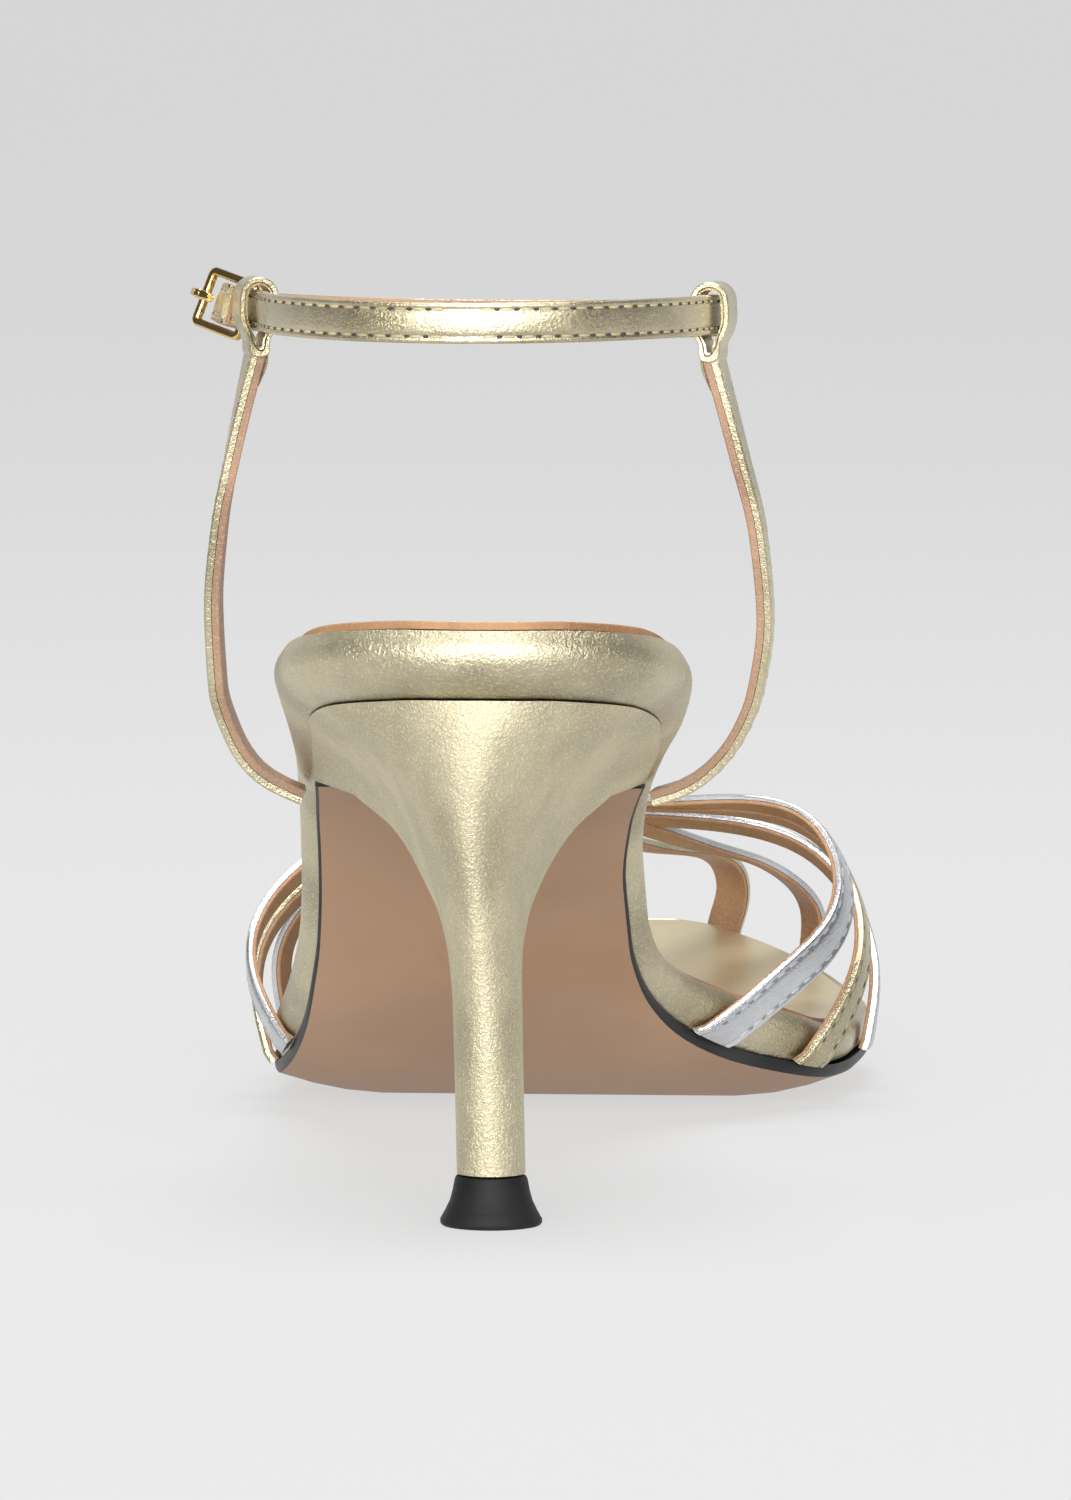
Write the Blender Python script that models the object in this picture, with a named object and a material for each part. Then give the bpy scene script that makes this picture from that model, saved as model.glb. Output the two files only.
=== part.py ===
"""Strappy heeled sandal, left shoe, in metres. The toe points along +Y, the inner side of the foot
is +X and the floor is z = 0. The origin is the middle of the heel's wear piece on the floor."""

import functools
import math

import bmesh
import bpy
import numpy as np
from mathutils import Vector

# Sole and footbed.
SOLE_LENGTH = 0.229
BALL_WIDTH = 0.0826
SEAT_RISE = 0.0668
SEAT_OVERHANG = 0.016
FOOTBED_THICKNESS = 0.0087
OUTSOLE_THICKNESS = 0.002
SEAT_TUCK = 0.004
WELT = 0.0009
CAMBER = 0.0034
SEAT_DISH = 0.0009
RIM_ROUND = 0.0012
SOCK_THICKNESS = 0.001
SOCK_INSET = 0.0028
OUTSOLE_EDGE_SLOPE = 0.0004

# Heel.
BREAST_STATION = 0.271
STEM_WIDTH = 0.0086
STEM_DEPTH = 0.0092
TOP_PIECE_HEIGHT = 0.0062
TOP_PIECE_FLARE = 0.0021

# Straps.
TOE_STRAP_WIDTH = 0.0055
TOE_STRAP_THICKNESS = 0.0014
INSTEP_HEIGHT = 0.031
STAY_WIDTH = 0.0064
STAY_THICKNESS = 0.001
STAY_SPREAD = 0.0372
ANKLE_HEIGHT = 0.1125
ANKLE_STRAP_WIDTH = 0.0051
ANKLE_STRAP_THICKNESS = 0.0014
ANKLE_DEPTH = 0.074
ANKLE_WIDTH = 0.0617
LOOP_ROOM = 0.0008
FREE_END_LENGTH = 0.036

# Buckle.
BUCKLE_LENGTH = 0.0098
BUCKLE_BAR = 0.0011
BUCKLE_ROOM = 0.0004
PRONG_THICKNESS = 0.0009
PRONG_START = 0.12
BUCKLE_LEAN_DEG = 21.0
BUCKLE_TURN_DEG = 36.0
TWIST_SPREAD = 0.0045

GAP = 0.0003

# One row for each section of sole and footbed, from the back of the seat to the toe. The station is a
# share of the sole's length, the half widths are shares of the ball's width, rise is a share of the
# seat's rise, and the other columns are shares of the sizes that they name.
SOLE_COLUMNS = ("station", "lateral", "medial", "rise", "camber", "tuck", "board", "leather", "welt", "dish")
SOLE_SECTIONS = (
    (0.000, 0.018, 0.018, 1.000, 0.0, 1.00, 0.98, 0.50, 0.0, 0.0),
    (0.009, 0.127, 0.115, 0.998, 0.0, 1.00, 0.99, 0.50, 0.0, 0.1),
    (0.035, 0.236, 0.212, 0.987, 0.0, 1.00, 1.00, 0.50, 0.0, 0.4),
    (0.070, 0.303, 0.266, 0.969, 0.0, 1.00, 1.00, 0.50, 0.0, 0.8),
    (0.135, 0.345, 0.291, 0.922, 0.0, 1.00, 1.00, 0.50, 0.0, 1.0),
    (0.201, 0.351, 0.273, 0.860, 0.0, 0.85, 0.90, 0.50, 0.0, 0.8),
    (0.266, 0.352, 0.230, 0.776, 0.0, 0.62, 0.76, 0.50, 0.0, 0.5),
    (0.336, 0.363, 0.190, 0.662, 0.0, 0.55, 0.62, 0.50, 0.0, 0.3),
    (0.389, 0.374, 0.173, 0.526, 0.1, 0.55, 0.58, 0.50, 0.0, 0.2),
    (0.441, 0.389, 0.172, 0.383, 0.2, 0.52, 0.60, 0.60, 0.0, 0.2),
    (0.476, 0.406, 0.183, 0.286, 0.3, 0.55, 0.68, 0.70, 0.2, 0.2),
    (0.520, 0.431, 0.226, 0.192, 0.2, 0.60, 0.80, 0.85, 0.4, 0.2),
    (0.568, 0.459, 0.306, 0.110, 0.3, 0.55, 0.90, 1.00, 0.6, 0.2),
    (0.616, 0.484, 0.408, 0.048, 0.5, 0.42, 0.92, 1.00, 0.8, 0.2),
    (0.659, 0.496, 0.455, 0.011, 0.85, 0.28, 0.92, 1.00, 1.0, 0.2),
    (0.694, 0.500, 0.474, 0.000, 1.1, 0.16, 0.92, 1.00, 1.0, 0.2),
    (0.764, 0.488, 0.486, 0.000, 1.2, 0.08, 0.91, 1.00, 1.0, 0.2),
    (0.812, 0.455, 0.486, 0.011, 1.1, 0.08, 0.88, 1.00, 1.0, 0.2),
    (0.856, 0.402, 0.456, 0.032, 0.9, 0.08, 0.84, 1.00, 1.0, 0.2),
    (0.900, 0.325, 0.408, 0.060, 0.7, 0.08, 0.80, 1.00, 1.0, 0.2),
    (0.943, 0.216, 0.338, 0.090, 0.4, 0.08, 0.76, 1.00, 1.0, 0.1),
    (0.974, 0.103, 0.268, 0.114, 0.2, 0.08, 0.72, 1.00, 1.0, 0.1),
    (0.991, 0.016, 0.206, 0.128, 0.1, 0.08, 0.70, 1.00, 1.0, 0.0),
    (1.000, -0.070, 0.126, 0.136, 0.0, 0.08, 0.70, 1.00, 1.0, 0.0),
)

# The foot form over the forefoot. Spreads are shares of the ball's width from the heel's centre line,
# heights are shares of the instep's height above the footbed.
LAST_COLUMNS = (
    "station", "side_lateral", "side_height_lateral", "shoulder_lateral", "shoulder_height_lateral",
    "crown", "crown_height", "shoulder_medial", "shoulder_height_medial", "side_medial", "side_height_medial",
)
LAST_SECTIONS = (
    (0.500, -0.480, 0.16, -0.390, 0.70, 0.090, 1.10, 0.225, 0.80, 0.232, 0.10),
    (0.540, -0.490, 0.20, -0.408, 0.71, 0.090, 1.06, 0.270, 0.80, 0.280, 0.12),
    (0.576, -0.503, 0.25, -0.425, 0.72, 0.090, 1.03, 0.350, 0.80, 0.356, 0.22),
    (0.603, -0.512, 0.29, -0.436, 0.71, 0.100, 1.01, 0.396, 0.85, 0.425, 0.38),
    (0.638, -0.518, 0.31, -0.442, 0.70, 0.110, 0.98, 0.402, 0.87, 0.472, 0.42),
    (0.670, -0.519, 0.30, -0.434, 0.67, 0.115, 0.95, 0.412, 0.82, 0.492, 0.33),
    (0.715, -0.517, 0.27, -0.416, 0.61, 0.120, 0.91, 0.420, 0.72, 0.500, 0.20),
    (0.790, -0.482, 0.22, -0.370, 0.54, 0.120, 0.75, 0.384, 0.57, 0.494, 0.20),
    (0.878, -0.385, 0.22, -0.275, 0.46, 0.110, 0.57, 0.325, 0.47, 0.440, 0.20),
    (0.956, -0.184, 0.17, -0.105, 0.34, 0.100, 0.41, 0.240, 0.36, 0.324, 0.17),
    (0.996, -0.016, 0.11, 0.010, 0.22, 0.080, 0.26, 0.152, 0.24, 0.190, 0.11),
)

# The toe straps' middle lines, from the lateral foot to the medial one. Around is the share of the way
# round the foot form's section, station the place along the sole. Lift is how far a strap lies over the
# ones beneath it, as a share of its thickness.
ROUTE_COLUMNS = ("around", "station")
TOE_STRAPS = {
    "silver_back": {"lift": 0.92, "route": (
        (0.0, 0.773), (0.27, 0.737), (0.57, 0.700), (0.66, 0.672), (0.745, 0.651), (0.82, 0.632), (0.87, 0.611),
        (0.92, 0.583), (1.0, 0.550))},
    "gold_middle": {"lift": 0.72, "route": (
        (0.0, 0.825), (0.27, 0.776), (0.55, 0.718), (0.70, 0.683), (0.80, 0.668), (0.88, 0.656), (0.94, 0.640),
        (1.0, 0.621))},
    "silver_front": {"lift": 0.52, "route": (
        (0.0, 0.886), (0.27, 0.824), (0.55, 0.754), (0.75, 0.738), (0.90, 0.736), (1.0, 0.730))},
    "silver_across": {"lift": 0.2, "route": (
        (0.0, 0.571), (0.06, 0.592), (0.12, 0.620), (0.18, 0.650), (0.27, 0.684), (0.46, 0.730), (0.59, 0.776),
        (0.66, 0.836), (0.73, 0.886), (0.84, 0.926), (1.0, 0.934))},
    "gold_across": {"lift": 0.0, "route": (
        (0.0, 0.648), (0.08, 0.662), (0.25, 0.718), (0.43, 0.766), (0.53, 0.820), (0.59, 0.890), (0.66, 0.950),
        (0.80, 0.988), (1.0, 0.993))},
}

# The heel under its seat, from just below the seat (place 0) to above the wear piece (place 1). Drop is
# a share of the height from seat to wear piece at the front and the back, spread is a share of the way
# from the stem's half width to the breast's, shift a share of the breast's offset, and front and back
# are places along Y as shares of the breast's place.
HEEL_COLUMNS = ("place", "drop_front", "drop_back", "spread", "shift", "front", "back", "bulge", "seat_shape")
HEEL_SECTIONS = (
    (0.00, 0.024, 0.060, 0.715, 0.82, 0.826, -0.264, -0.030, 0.90),
    (0.17, 0.107, 0.145, 0.407, 0.62, 0.600, -0.257, -0.020, 0.60),
    (0.34, 0.215, 0.265, 0.199, 0.48, 0.385, -0.230, 0.030, 0.25),
    (0.50, 0.313, 0.390, 0.073, 0.32, 0.210, -0.190, 0.075, 0.08),
    (0.66, 0.411, 0.508, 0.020, 0.20, 0.085, -0.156, 0.090, 0.00),
    (0.82, 0.531, 0.625, 0.004, 0.12, 0.043, -0.130, 0.090, 0.00),
    (1.00, 0.750, 0.800, 0.000, 0.06, 0.020, -0.112, 0.090, 0.00),
)

# A side stay from its root under the footbed to the pinch below its loop: height is a share of the rise
# from root to pinch, spread a share of the stay's spread from the ankle's centre line.
STAY_COLUMNS = ("height", "lateral", "medial")
STAY_SECTIONS = (
    (0.000, 0.660, 0.585),
    (0.020, 0.760, 0.690),
    (0.070, 0.862, 0.800),
    (0.140, 0.925, 0.885),
    (0.250, 0.972, 0.955),
    (0.420, 0.980, 0.992),
    (0.600, 0.956, 0.975),
    (0.780, 0.905, 0.920),
    (1.000, 0.835, 0.850),
)

# The ankle band seen from above, clockwise from the back: shares of its width across, of its depth
# along, and of its width that it lies above or below the ankle's height.
BAND_COLUMNS = ("across", "along", "lift")
BAND_POINTS = (
    (0.000, 0.000, 0.000), (-0.225, 0.058, 0.002), (-0.385, 0.215, 0.006), (-0.463, 0.440, 0.008),
    (-0.540, 0.620, 0.004), (-0.470, 0.810, -0.015), (-0.270, 0.950, -0.030), (0.000, 1.000, -0.036),
    (0.240, 0.945, -0.032), (0.420, 0.800, -0.022), (0.476, 0.600, -0.008), (0.463, 0.430, 0.000),
    (0.375, 0.205, 0.002), (0.215, 0.055, 0.001),
)
BAND_CENTRE_X = -0.0037
BAND_BACK_Y = 0.003
LOOP_PLACE = 0.440
BUCKLE_PLACE = 0.595

MATERIALS = {
    "gold_leather": ((0.62, 0.56, 0.36), 0.36, 0.85),
    "silver_leather": ((0.66, 0.68, 0.72), 0.34, 0.8),
    "tan_leather": ((0.42, 0.25, 0.15), 0.55, 0.0),
    "black_rubber": ((0.02, 0.02, 0.022), 0.6, 0.0),
    "polished_gold": ((0.80, 0.58, 0.25), 0.18, 1.0),
}


class Curve:
    """A monotone cubic through a table's rows."""

    def __init__(self, places, values):
        self.places = np.asarray(places, float)
        self.values = np.asarray(values, float)
        steps = np.diff(self.places)
        rates = np.diff(self.values) / steps
        slopes = np.empty(len(self.places))
        slopes[0], slopes[-1] = rates[0], rates[-1]
        for i in range(1, len(slopes) - 1):
            before, after = rates[i - 1], rates[i]
            if before * after <= 0:
                slopes[i] = 0.0
                continue
            near = 2 * steps[i] + steps[i - 1]
            far = steps[i] + 2 * steps[i - 1]
            slopes[i] = (near + far) / (near / before + far / after)
        self.slopes = slopes

    def __call__(self, place):
        place = min(max(place, self.places[0]), self.places[-1])
        i = min(int(np.searchsorted(self.places, place, side="right")) - 1, len(self.places) - 2)
        step = self.places[i + 1] - self.places[i]
        t = (place - self.places[i]) / step
        return float(
            self.values[i] * (1 + 2 * t) * (1 - t) ** 2
            + self.values[i + 1] * t * t * (3 - 2 * t)
            + step * (self.slopes[i] * t * (1 - t) ** 2 - self.slopes[i + 1] * t * t * (1 - t))
        )


def turn_of(station):
    """The sole's outline is round at both ends, so its rows are joined over this angle, not over the length."""
    return math.acos(1 - 2 * min(max(station, 0.0), 1.0))


def table(columns, rows, place=lambda value: value):
    data = list(zip(*rows))
    places = [place(value) for value in data[0]]
    return {name: Curve(places, data[i]) for i, name in enumerate(columns) if i}


SOLE = table(SOLE_COLUMNS, SOLE_SECTIONS, turn_of)
LAST = table(LAST_COLUMNS, LAST_SECTIONS)
STAY = table(STAY_COLUMNS, STAY_SECTIONS)
HEEL = table(HEEL_COLUMNS, HEEL_SECTIONS)


def sole_value(name, station):
    return SOLE[name](turn_of(station))


def y_of(station):
    return station * SOLE_LENGTH - SEAT_OVERHANG


def station_of(y):
    return (y + SEAT_OVERHANG) / SOLE_LENGTH


def edges(station, inset=0.0):
    """Lateral and medial x of the footbed's outline, drawn in by an inset that fades at the rounded ends."""
    lateral = -sole_value("lateral", station) * BALL_WIDTH
    medial = sole_value("medial", station) * BALL_WIDTH
    half = (medial - lateral) / 2
    drawn = inset * min(1.0, half / (0.2 * BALL_WIDTH))
    return lateral + drawn, medial - drawn


def board_bottom(station, across=0.0):
    """Height of the footbed's underside; across is -1 at the lateral edge and 1 at the medial one."""
    lift = max(0.0, abs(across) - 0.6) / 0.4
    level = OUTSOLE_THICKNESS + sole_value("rise", station) * (SEAT_RISE - OUTSOLE_THICKNESS)
    return level + CAMBER * sole_value("camber", station) * lift**2


def board_top(station, across=0.0):
    dish = SEAT_DISH * sole_value("dish", station) * (1 - across**2)
    return board_bottom(station) + FOOTBED_THICKNESS * sole_value("board", station) - dish


def stations(first, last, count):
    """Places along the sole, closer together towards its rounded ends."""
    turns = np.linspace(turn_of(first), turn_of(last), count)
    return [(1 - math.cos(turn)) / 2 for turn in turns]


def place_on_sole(station, across, inset, height):
    """A point of a ring round the sole. The inset also draws in the ends, so a wall slopes all round."""
    lateral, medial = edges(station, inset)
    x = lateral + (medial - lateral) * (across + 1) / 2
    y = y_of(station) + inset * (1 - 2 * station)
    return Vector((x, y, height))


def drop_old_scene():
    for obj in list(bpy.data.objects):
        bpy.data.objects.remove(obj, do_unlink=True)


def make_materials():
    made = {}
    for name, (colour, roughness, metallic) in MATERIALS.items():
        material = bpy.data.materials.new(name)
        material.use_nodes = True
        shader = material.node_tree.nodes["Principled BSDF"]
        shader.inputs["Base Color"].default_value = (*colour, 1.0)
        shader.inputs["Roughness"].default_value = roughness
        shader.inputs["Metallic"].default_value = metallic
        made[name] = material
    return made


def make_collection(name, hidden=False):
    collection = bpy.data.collections.new(name)
    collection.hide_render = hidden
    bpy.context.scene.collection.children.link(collection)
    return collection


def finish(name, mesh_data, material, collection, sharp_deg=35.0):
    """Turns a bmesh into a named object with its faces out and its round faces smooth."""
    bmesh.ops.recalc_face_normals(mesh_data, faces=mesh_data.faces[:])
    mesh = bpy.data.meshes.new(name)
    mesh_data.to_mesh(mesh)
    mesh_data.free()
    mesh.shade_smooth()
    mesh.set_sharp_from_angle(angle=math.radians(sharp_deg))
    mesh.materials.append(material)
    obj = bpy.data.objects.new(name, mesh)
    collection.objects.link(obj)
    return obj


def close_end(built, loop, below, flank):
    """Closes a sole section with rows of faces, so that its wall keeps its profile round the end."""
    if not flank:
        built.faces.new(loop)
        return
    medial = loop[below - 1: below + flank]
    lateral = [loop[0]] + loop[:-flank - 1:-1]
    built.faces.new(loop[:below] + [medial[1], lateral[1]])
    for i in range(1, flank):
        built.faces.new((lateral[i], medial[i], medial[i + 1], lateral[i + 1]))
    built.faces.new(loop[below + flank - 1: len(loop) - flank + 1])


def loft_sole(rings, below, flank):
    built = loft(rings, caps=False)
    built.verts.ensure_lookup_table()
    for end in (built.verts[: len(rings[0])], built.verts[-len(rings[0]):]):
        close_end(built, end, below, flank)
    return built


def loft(rings, closed=False, caps=True):
    """Joins rings of points, each with as many points as the next, and closes the ends."""
    built = bmesh.new()
    loops = [[built.verts.new(point) for point in ring] for ring in rings]
    count = len(loops[0])
    pairs = list(zip(loops, loops[1:]))
    if closed:
        pairs.append((loops[-1], loops[0]))
    for near, far in pairs:
        for i in range(count):
            j = (i + 1) % count
            built.faces.new((near[i], near[j], far[j], far[i]))
    if caps and not closed:
        built.faces.new(loops[0][::-1])
        built.faces.new(loops[-1])
    return built


def sole_ring(station, wall, bottom, top, across_bottom, across_top):
    """A section of a sole piece: its underside, its medial wall, its top and its lateral wall."""
    low_inset, high_inset = wall[0][0], wall[-1][0]
    points = [place_on_sole(station, e, low_inset, bottom(station, e)) for e in across_bottom]
    for side, steps in ((1, wall[1:-1]), (-1, wall[-2:0:-1])):
        flank = []
        for inset, share in steps:
            low, high = bottom(station, side), top(station, side)
            flank.append(place_on_sole(station, side, inset, low + (high - low) * share))
        if side == 1:
            points += flank
            points += [place_on_sole(station, e, high_inset, top(station, e)) for e in across_top]
        else:
            points += flank
    return points


ACROSS_BOTTOM = (-1.0, -0.8, -0.6, 0.0, 0.6, 0.8, 1.0)
ACROSS_TOP = (1.0, 0.6, 0.0, -0.6, -1.0)


def make_insole(material, collection):
    rings = []
    for station in stations(0.0, 1.0, 46):
        tuck = SEAT_TUCK * sole_value("tuck", station)
        wall = ((tuck, 0.0), (0.42 * tuck, 0.22), (0.0, 0.55), (0.2 * RIM_ROUND, 0.84), (RIM_ROUND, 1.0))
        rings.append(sole_ring(station, wall, board_bottom, board_top, ACROSS_BOTTOM, ACROSS_TOP))
    return finish("insole", loft_sole(rings, len(ACROSS_BOTTOM), len(wall) - 2), material, collection)


def make_insole_sock(material, collection):
    def sock_bottom(station, across):
        return board_top(station, across) + GAP

    def sock_top(station, across):
        return sock_bottom(station, across) + SOCK_THICKNESS

    wall = ((SOCK_INSET, 0.0), (SOCK_INSET, 1.0))
    rings = [
        sole_ring(station, wall, sock_bottom, sock_top, ACROSS_TOP[::-1], ACROSS_TOP)
        for station in stations(0.0, 1.0, 36)
    ]
    return finish("insole_sock", loft(rings), material, collection)


def outsole_inset(station):
    return SEAT_TUCK * sole_value("tuck", station) - WELT * sole_value("welt", station)


def make_outsole(material, collection):
    def leather_top(station, across):
        return board_bottom(station, across) - GAP

    def leather_bottom(station, across):
        return board_bottom(station, across) - OUTSOLE_THICKNESS * sole_value("leather", station)

    rings = []
    for station in stations(BREAST_STATION + GAP / SOLE_LENGTH, 1.0, 38):
        inset = outsole_inset(station)
        wall = ((inset + OUTSOLE_EDGE_SLOPE, 0.0), (inset, 0.4), (inset, 1.0))
        rings.append(sole_ring(station, wall, leather_bottom, leather_top, ACROSS_BOTTOM, ACROSS_BOTTOM[::-1]))
    return finish("outsole", loft_sole(rings, len(ACROSS_BOTTOM), len(wall) - 2), material, collection)


HEEL_TURNS = 13
HEEL_STEPS = 15
BREAST_TURNS = 5


def seat_ring():
    """The heel's top ring: the footbed's tucked outline from the lateral breast corner round the back."""
    points = []
    for turn in np.linspace(-math.pi / 2, math.pi / 2, 2 * HEEL_TURNS + 1):
        station = BREAST_STATION * (1 - math.cos(turn))
        side = -1 if turn < 0 else 1
        tuck = SEAT_TUCK * sole_value("tuck", station)
        points.append(place_on_sole(station, side if abs(turn) > 1e-6 else 0.0, tuck, board_bottom(station) - GAP))
    return points


def heel_ring(seat, place):
    """A ring of the heel, between the seat's shape and a rounded stem with a flatter front."""
    values = {name: curve(place) for name, curve in HEEL.items()}
    breast_lateral, breast_medial = seat[0], seat[-1]
    breast_y = breast_lateral.y
    half = (breast_medial.x - breast_lateral.x) / 2
    offset = (breast_medial.x + breast_lateral.x) / 2
    width = STEM_WIDTH / 2 + (half - STEM_WIDTH / 2) * values["spread"]
    centre_x = offset * values["shift"]
    front_y, back_y = breast_y * values["front"], breast_y * values["back"]
    seat_back = seat[len(seat) // 2]
    ring = []
    for i, turn in enumerate(np.linspace(-math.pi / 2, math.pi / 2, 2 * HEEL_TURNS + 1)):
        shape = (seat[i].x - offset) / half
        swing = shape * values["seat_shape"] + math.sin(turn) * (1 - values["seat_shape"])
        deep = math.cos(turn)
        x = centre_x + width * swing
        y = front_y + (back_y - front_y) * deep
        top = seat[i].z
        along = (breast_y - seat[i].y) / (breast_y - seat_back.y)
        drop = values["drop_front"] + (values["drop_back"] - values["drop_front"]) * along
        ring.append(Vector((x, y, top + (TOP_PIECE_HEIGHT + GAP - top) * drop)))
    return ring + breast_points(ring, values["bulge"] * breast_y)


def breast_points(ring, bulge):
    """Points across the heel's front, from the medial corner back to the lateral one."""
    first, last = ring[-1], ring[0]
    points = []
    for share in np.linspace(0, 1, BREAST_TURNS + 2)[1:-1]:
        point = first.lerp(last, share)
        point.y += bulge * math.sqrt(1 - (2 * share - 1) ** 2)
        points.append(point)
    return points


def stem_ring(height, grow):
    """The stem's foot and the wear piece share this outline: round behind, flatter in front."""
    half_width, half_depth = STEM_WIDTH / 2 + grow, STEM_DEPTH / 2 + grow
    ring = []
    for turn in np.linspace(-math.pi / 2, math.pi / 2, 2 * HEEL_TURNS + 1):
        ring.append(Vector((half_width * math.sin(turn), -half_depth * math.cos(turn), height)))
    return ring + breast_points(ring, 0.82 * half_depth)


def make_heel(material, collection):
    seat = seat_ring()
    rings = [seat + breast_points(seat, 0.0)]
    rings += [heel_ring(seat, place) for place in np.linspace(0, 1, HEEL_STEPS)]
    rings.append(stem_ring(TOP_PIECE_HEIGHT + GAP, 0.0))
    built = loft(rings, caps=False)
    built.verts.ensure_lookup_table()
    around = len(seat)
    ring = built.verts[: len(rings[0])]
    for i in range(around // 2):
        corners = [ring[i], ring[i + 1], ring[around - 2 - i], ring[around - 1 - i]]
        corners = list(dict.fromkeys(corners))
        if i == 0:
            corners += ring[around:]
        built.faces.new(corners)
    built.faces.new(built.verts[-len(rings[0]):])
    return finish("heel", built, material, collection, 50.0)


def make_top_piece(material, collection):
    rings = [
        stem_ring(TOP_PIECE_HEIGHT, 0.02 * TOP_PIECE_FLARE),
        stem_ring(0.5 * TOP_PIECE_HEIGHT, 0.42 * TOP_PIECE_FLARE),
        stem_ring(0.12 * TOP_PIECE_HEIGHT, TOP_PIECE_FLARE),
        stem_ring(0.0, 0.86 * TOP_PIECE_FLARE),
    ]
    return finish("heel_top_piece", loft(rings), material, collection)


def last_section(station):
    """The foot form's outline at a station, from the lateral foot of the straps to the medial one."""
    value = {name: curve(station) for name, curve in LAST.items()}
    lateral, medial = edges(station)
    rim = board_top(station, 1.0)
    behind, ahead = edges(station - 0.01), edges(station + 0.01)
    slants = [(b - a) / (0.02 * SOLE_LENGTH) for a, b in zip(behind, ahead)]
    room_lateral, room_medial = ((GAP + 0.2 * TOE_STRAP_THICKNESS) * math.sqrt(1 + slant**2) for slant in slants)
    tread = board_bottom(station, 1.0) - GAP + 0.25 * TOE_STRAP_THICKNESS

    def at(spread, height):
        return (value[spread] * BALL_WIDTH, rim + value[height] * INSTEP_HEIGHT)

    tuck = SEAT_TUCK * sole_value("tuck", station)
    wall = ((tuck, 0.0), (0.42 * tuck, 0.22), (0.0, 0.55))
    return np.array([
        *((lateral - room_lateral + inset, tread + (rim - tread) * share) for inset, share in wall),
        at("side_lateral", "side_height_lateral"),
        at("shoulder_lateral", "shoulder_height_lateral"),
        at("crown", "crown_height"),
        at("shoulder_medial", "shoulder_height_medial"),
        at("side_medial", "side_height_medial"),
        *((medial + room_medial - inset, tread + (rim - tread) * share) for inset, share in wall[::-1]),
    ])


def spline(points, share, closed=False):
    """A point on the smooth curve through the points, by its share of the way along them."""
    points = np.asarray(points, float)
    if closed:
        points = np.vstack([points[-1], points, points[:2]])
    else:
        points = np.vstack([2 * points[0] - points[1], points, 2 * points[-1] - points[-2]])
    spans = np.linalg.norm(np.diff(points[1:-1], axis=0), axis=1)
    marks = np.concatenate([[0.0], np.cumsum(spans)])
    goal = (share % 1.0 if closed else min(max(share, 0.0), 1.0)) * marks[-1]
    i = min(int(np.searchsorted(marks, goal, side="right")) - 1, len(spans) - 1)
    t = (goal - marks[i]) / spans[i]
    before, start, end, after = points[i: i + 4]
    gaps = [max(float(np.linalg.norm(b - a)), 1e-6) for a, b in ((before, start), (start, end), (end, after))]
    leave = (start - before) / gaps[0] - (end - before) / (gaps[0] + gaps[1]) + (end - start) / gaps[1]
    arrive = (end - start) / gaps[1] - (after - start) / (gaps[1] + gaps[2]) + (after - end) / gaps[2]
    leave, arrive = leave * gaps[1], arrive * gaps[1]
    return (
        start * (1 + 2 * t) * (1 - t) ** 2
        + end * t * t * (3 - 2 * t)
        + leave * t * (1 - t) ** 2
        - arrive * t * t * (1 - t)
    )


def last_point(station, across, lift=0.0):
    """A point on the foot form, lifted off it along its outward normal."""
    def raw(station_at, across_at):
        x, z = spline(last_section(station_at), across_at)
        return Vector((x, y_of(station_at), z))

    step = 0.004
    point = raw(station, across)
    if not lift:
        return point
    along = raw(station + step, across) - raw(station - step, across)
    round_ = raw(station, min(across + step, 1.0)) - raw(station, max(across - step, 0.0))
    return point + round_.cross(along).normalized() * lift


STRAP_STEPS = 56
FOOT_SHARE = 0.07


def make_toe_strap(lift, route):
    """One toe strap: a flat band whose middle line runs over the foot form, with its feet on the sole's edge."""
    def middle(share):
        around, station = spline(route, share)
        return station, min(max(around, 0.0), 1.0)

    rings = []
    for share in np.linspace(0, 1, STRAP_STEPS):
        centre = last_point(*middle(share))
        ahead = last_point(*middle(min(share + 0.01, 1.0))) - last_point(*middle(max(share - 0.01, 0.0)))
        normal = (last_point(*middle(share), 1.0) - centre).normalized()
        side = normal.cross(ahead).normalized()
        normal = ahead.cross(side).normalized()
        station, around = middle(share)
        along = (last_point(station + 0.005, around) - last_point(station - 0.005, around)).normalized()
        square = min(1.0, min(share, 1.0 - share) / FOOT_SHARE)
        half = TOE_STRAP_WIDTH / 2 * (side * square + along / side.dot(along) * (1.0 - square))
        inner = lift * TOE_STRAP_THICKNESS * math.sin(math.pi * share) ** 0.8
        low, high = centre + normal * inner, centre + normal * (inner + TOE_STRAP_THICKNESS)
        rings.append([low - half, low + half, high + half, high - half])
    return loft(rings)


def join(target, others):
    """A Boolean union that leaves one closed mesh, with the joined pieces removed."""
    for other in others:
        modifier = target.modifiers.new("join_" + other.name, "BOOLEAN")
        modifier.operation = "UNION"
        modifier.object = other
        modifier.material_mode = "TRANSFER"
    bpy.context.view_layer.update()
    evaluated = target.evaluated_get(bpy.context.evaluated_depsgraph_get())
    mesh = bpy.data.meshes.new_from_object(evaluated)
    target.modifiers.clear()
    target.data = mesh
    for other in others:
        bpy.data.objects.remove(other, do_unlink=True)
    return target


def make_upper(materials, collection):
    straps = []
    for name, strap in reversed(TOE_STRAPS.items()):
        material = materials["gold_leather" if "gold" in name else "silver_leather"]
        straps.append(finish(name, make_toe_strap(**strap), material, collection))
    upper = join(straps[0], straps[1:])
    upper.name = "upper"
    return upper


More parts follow.
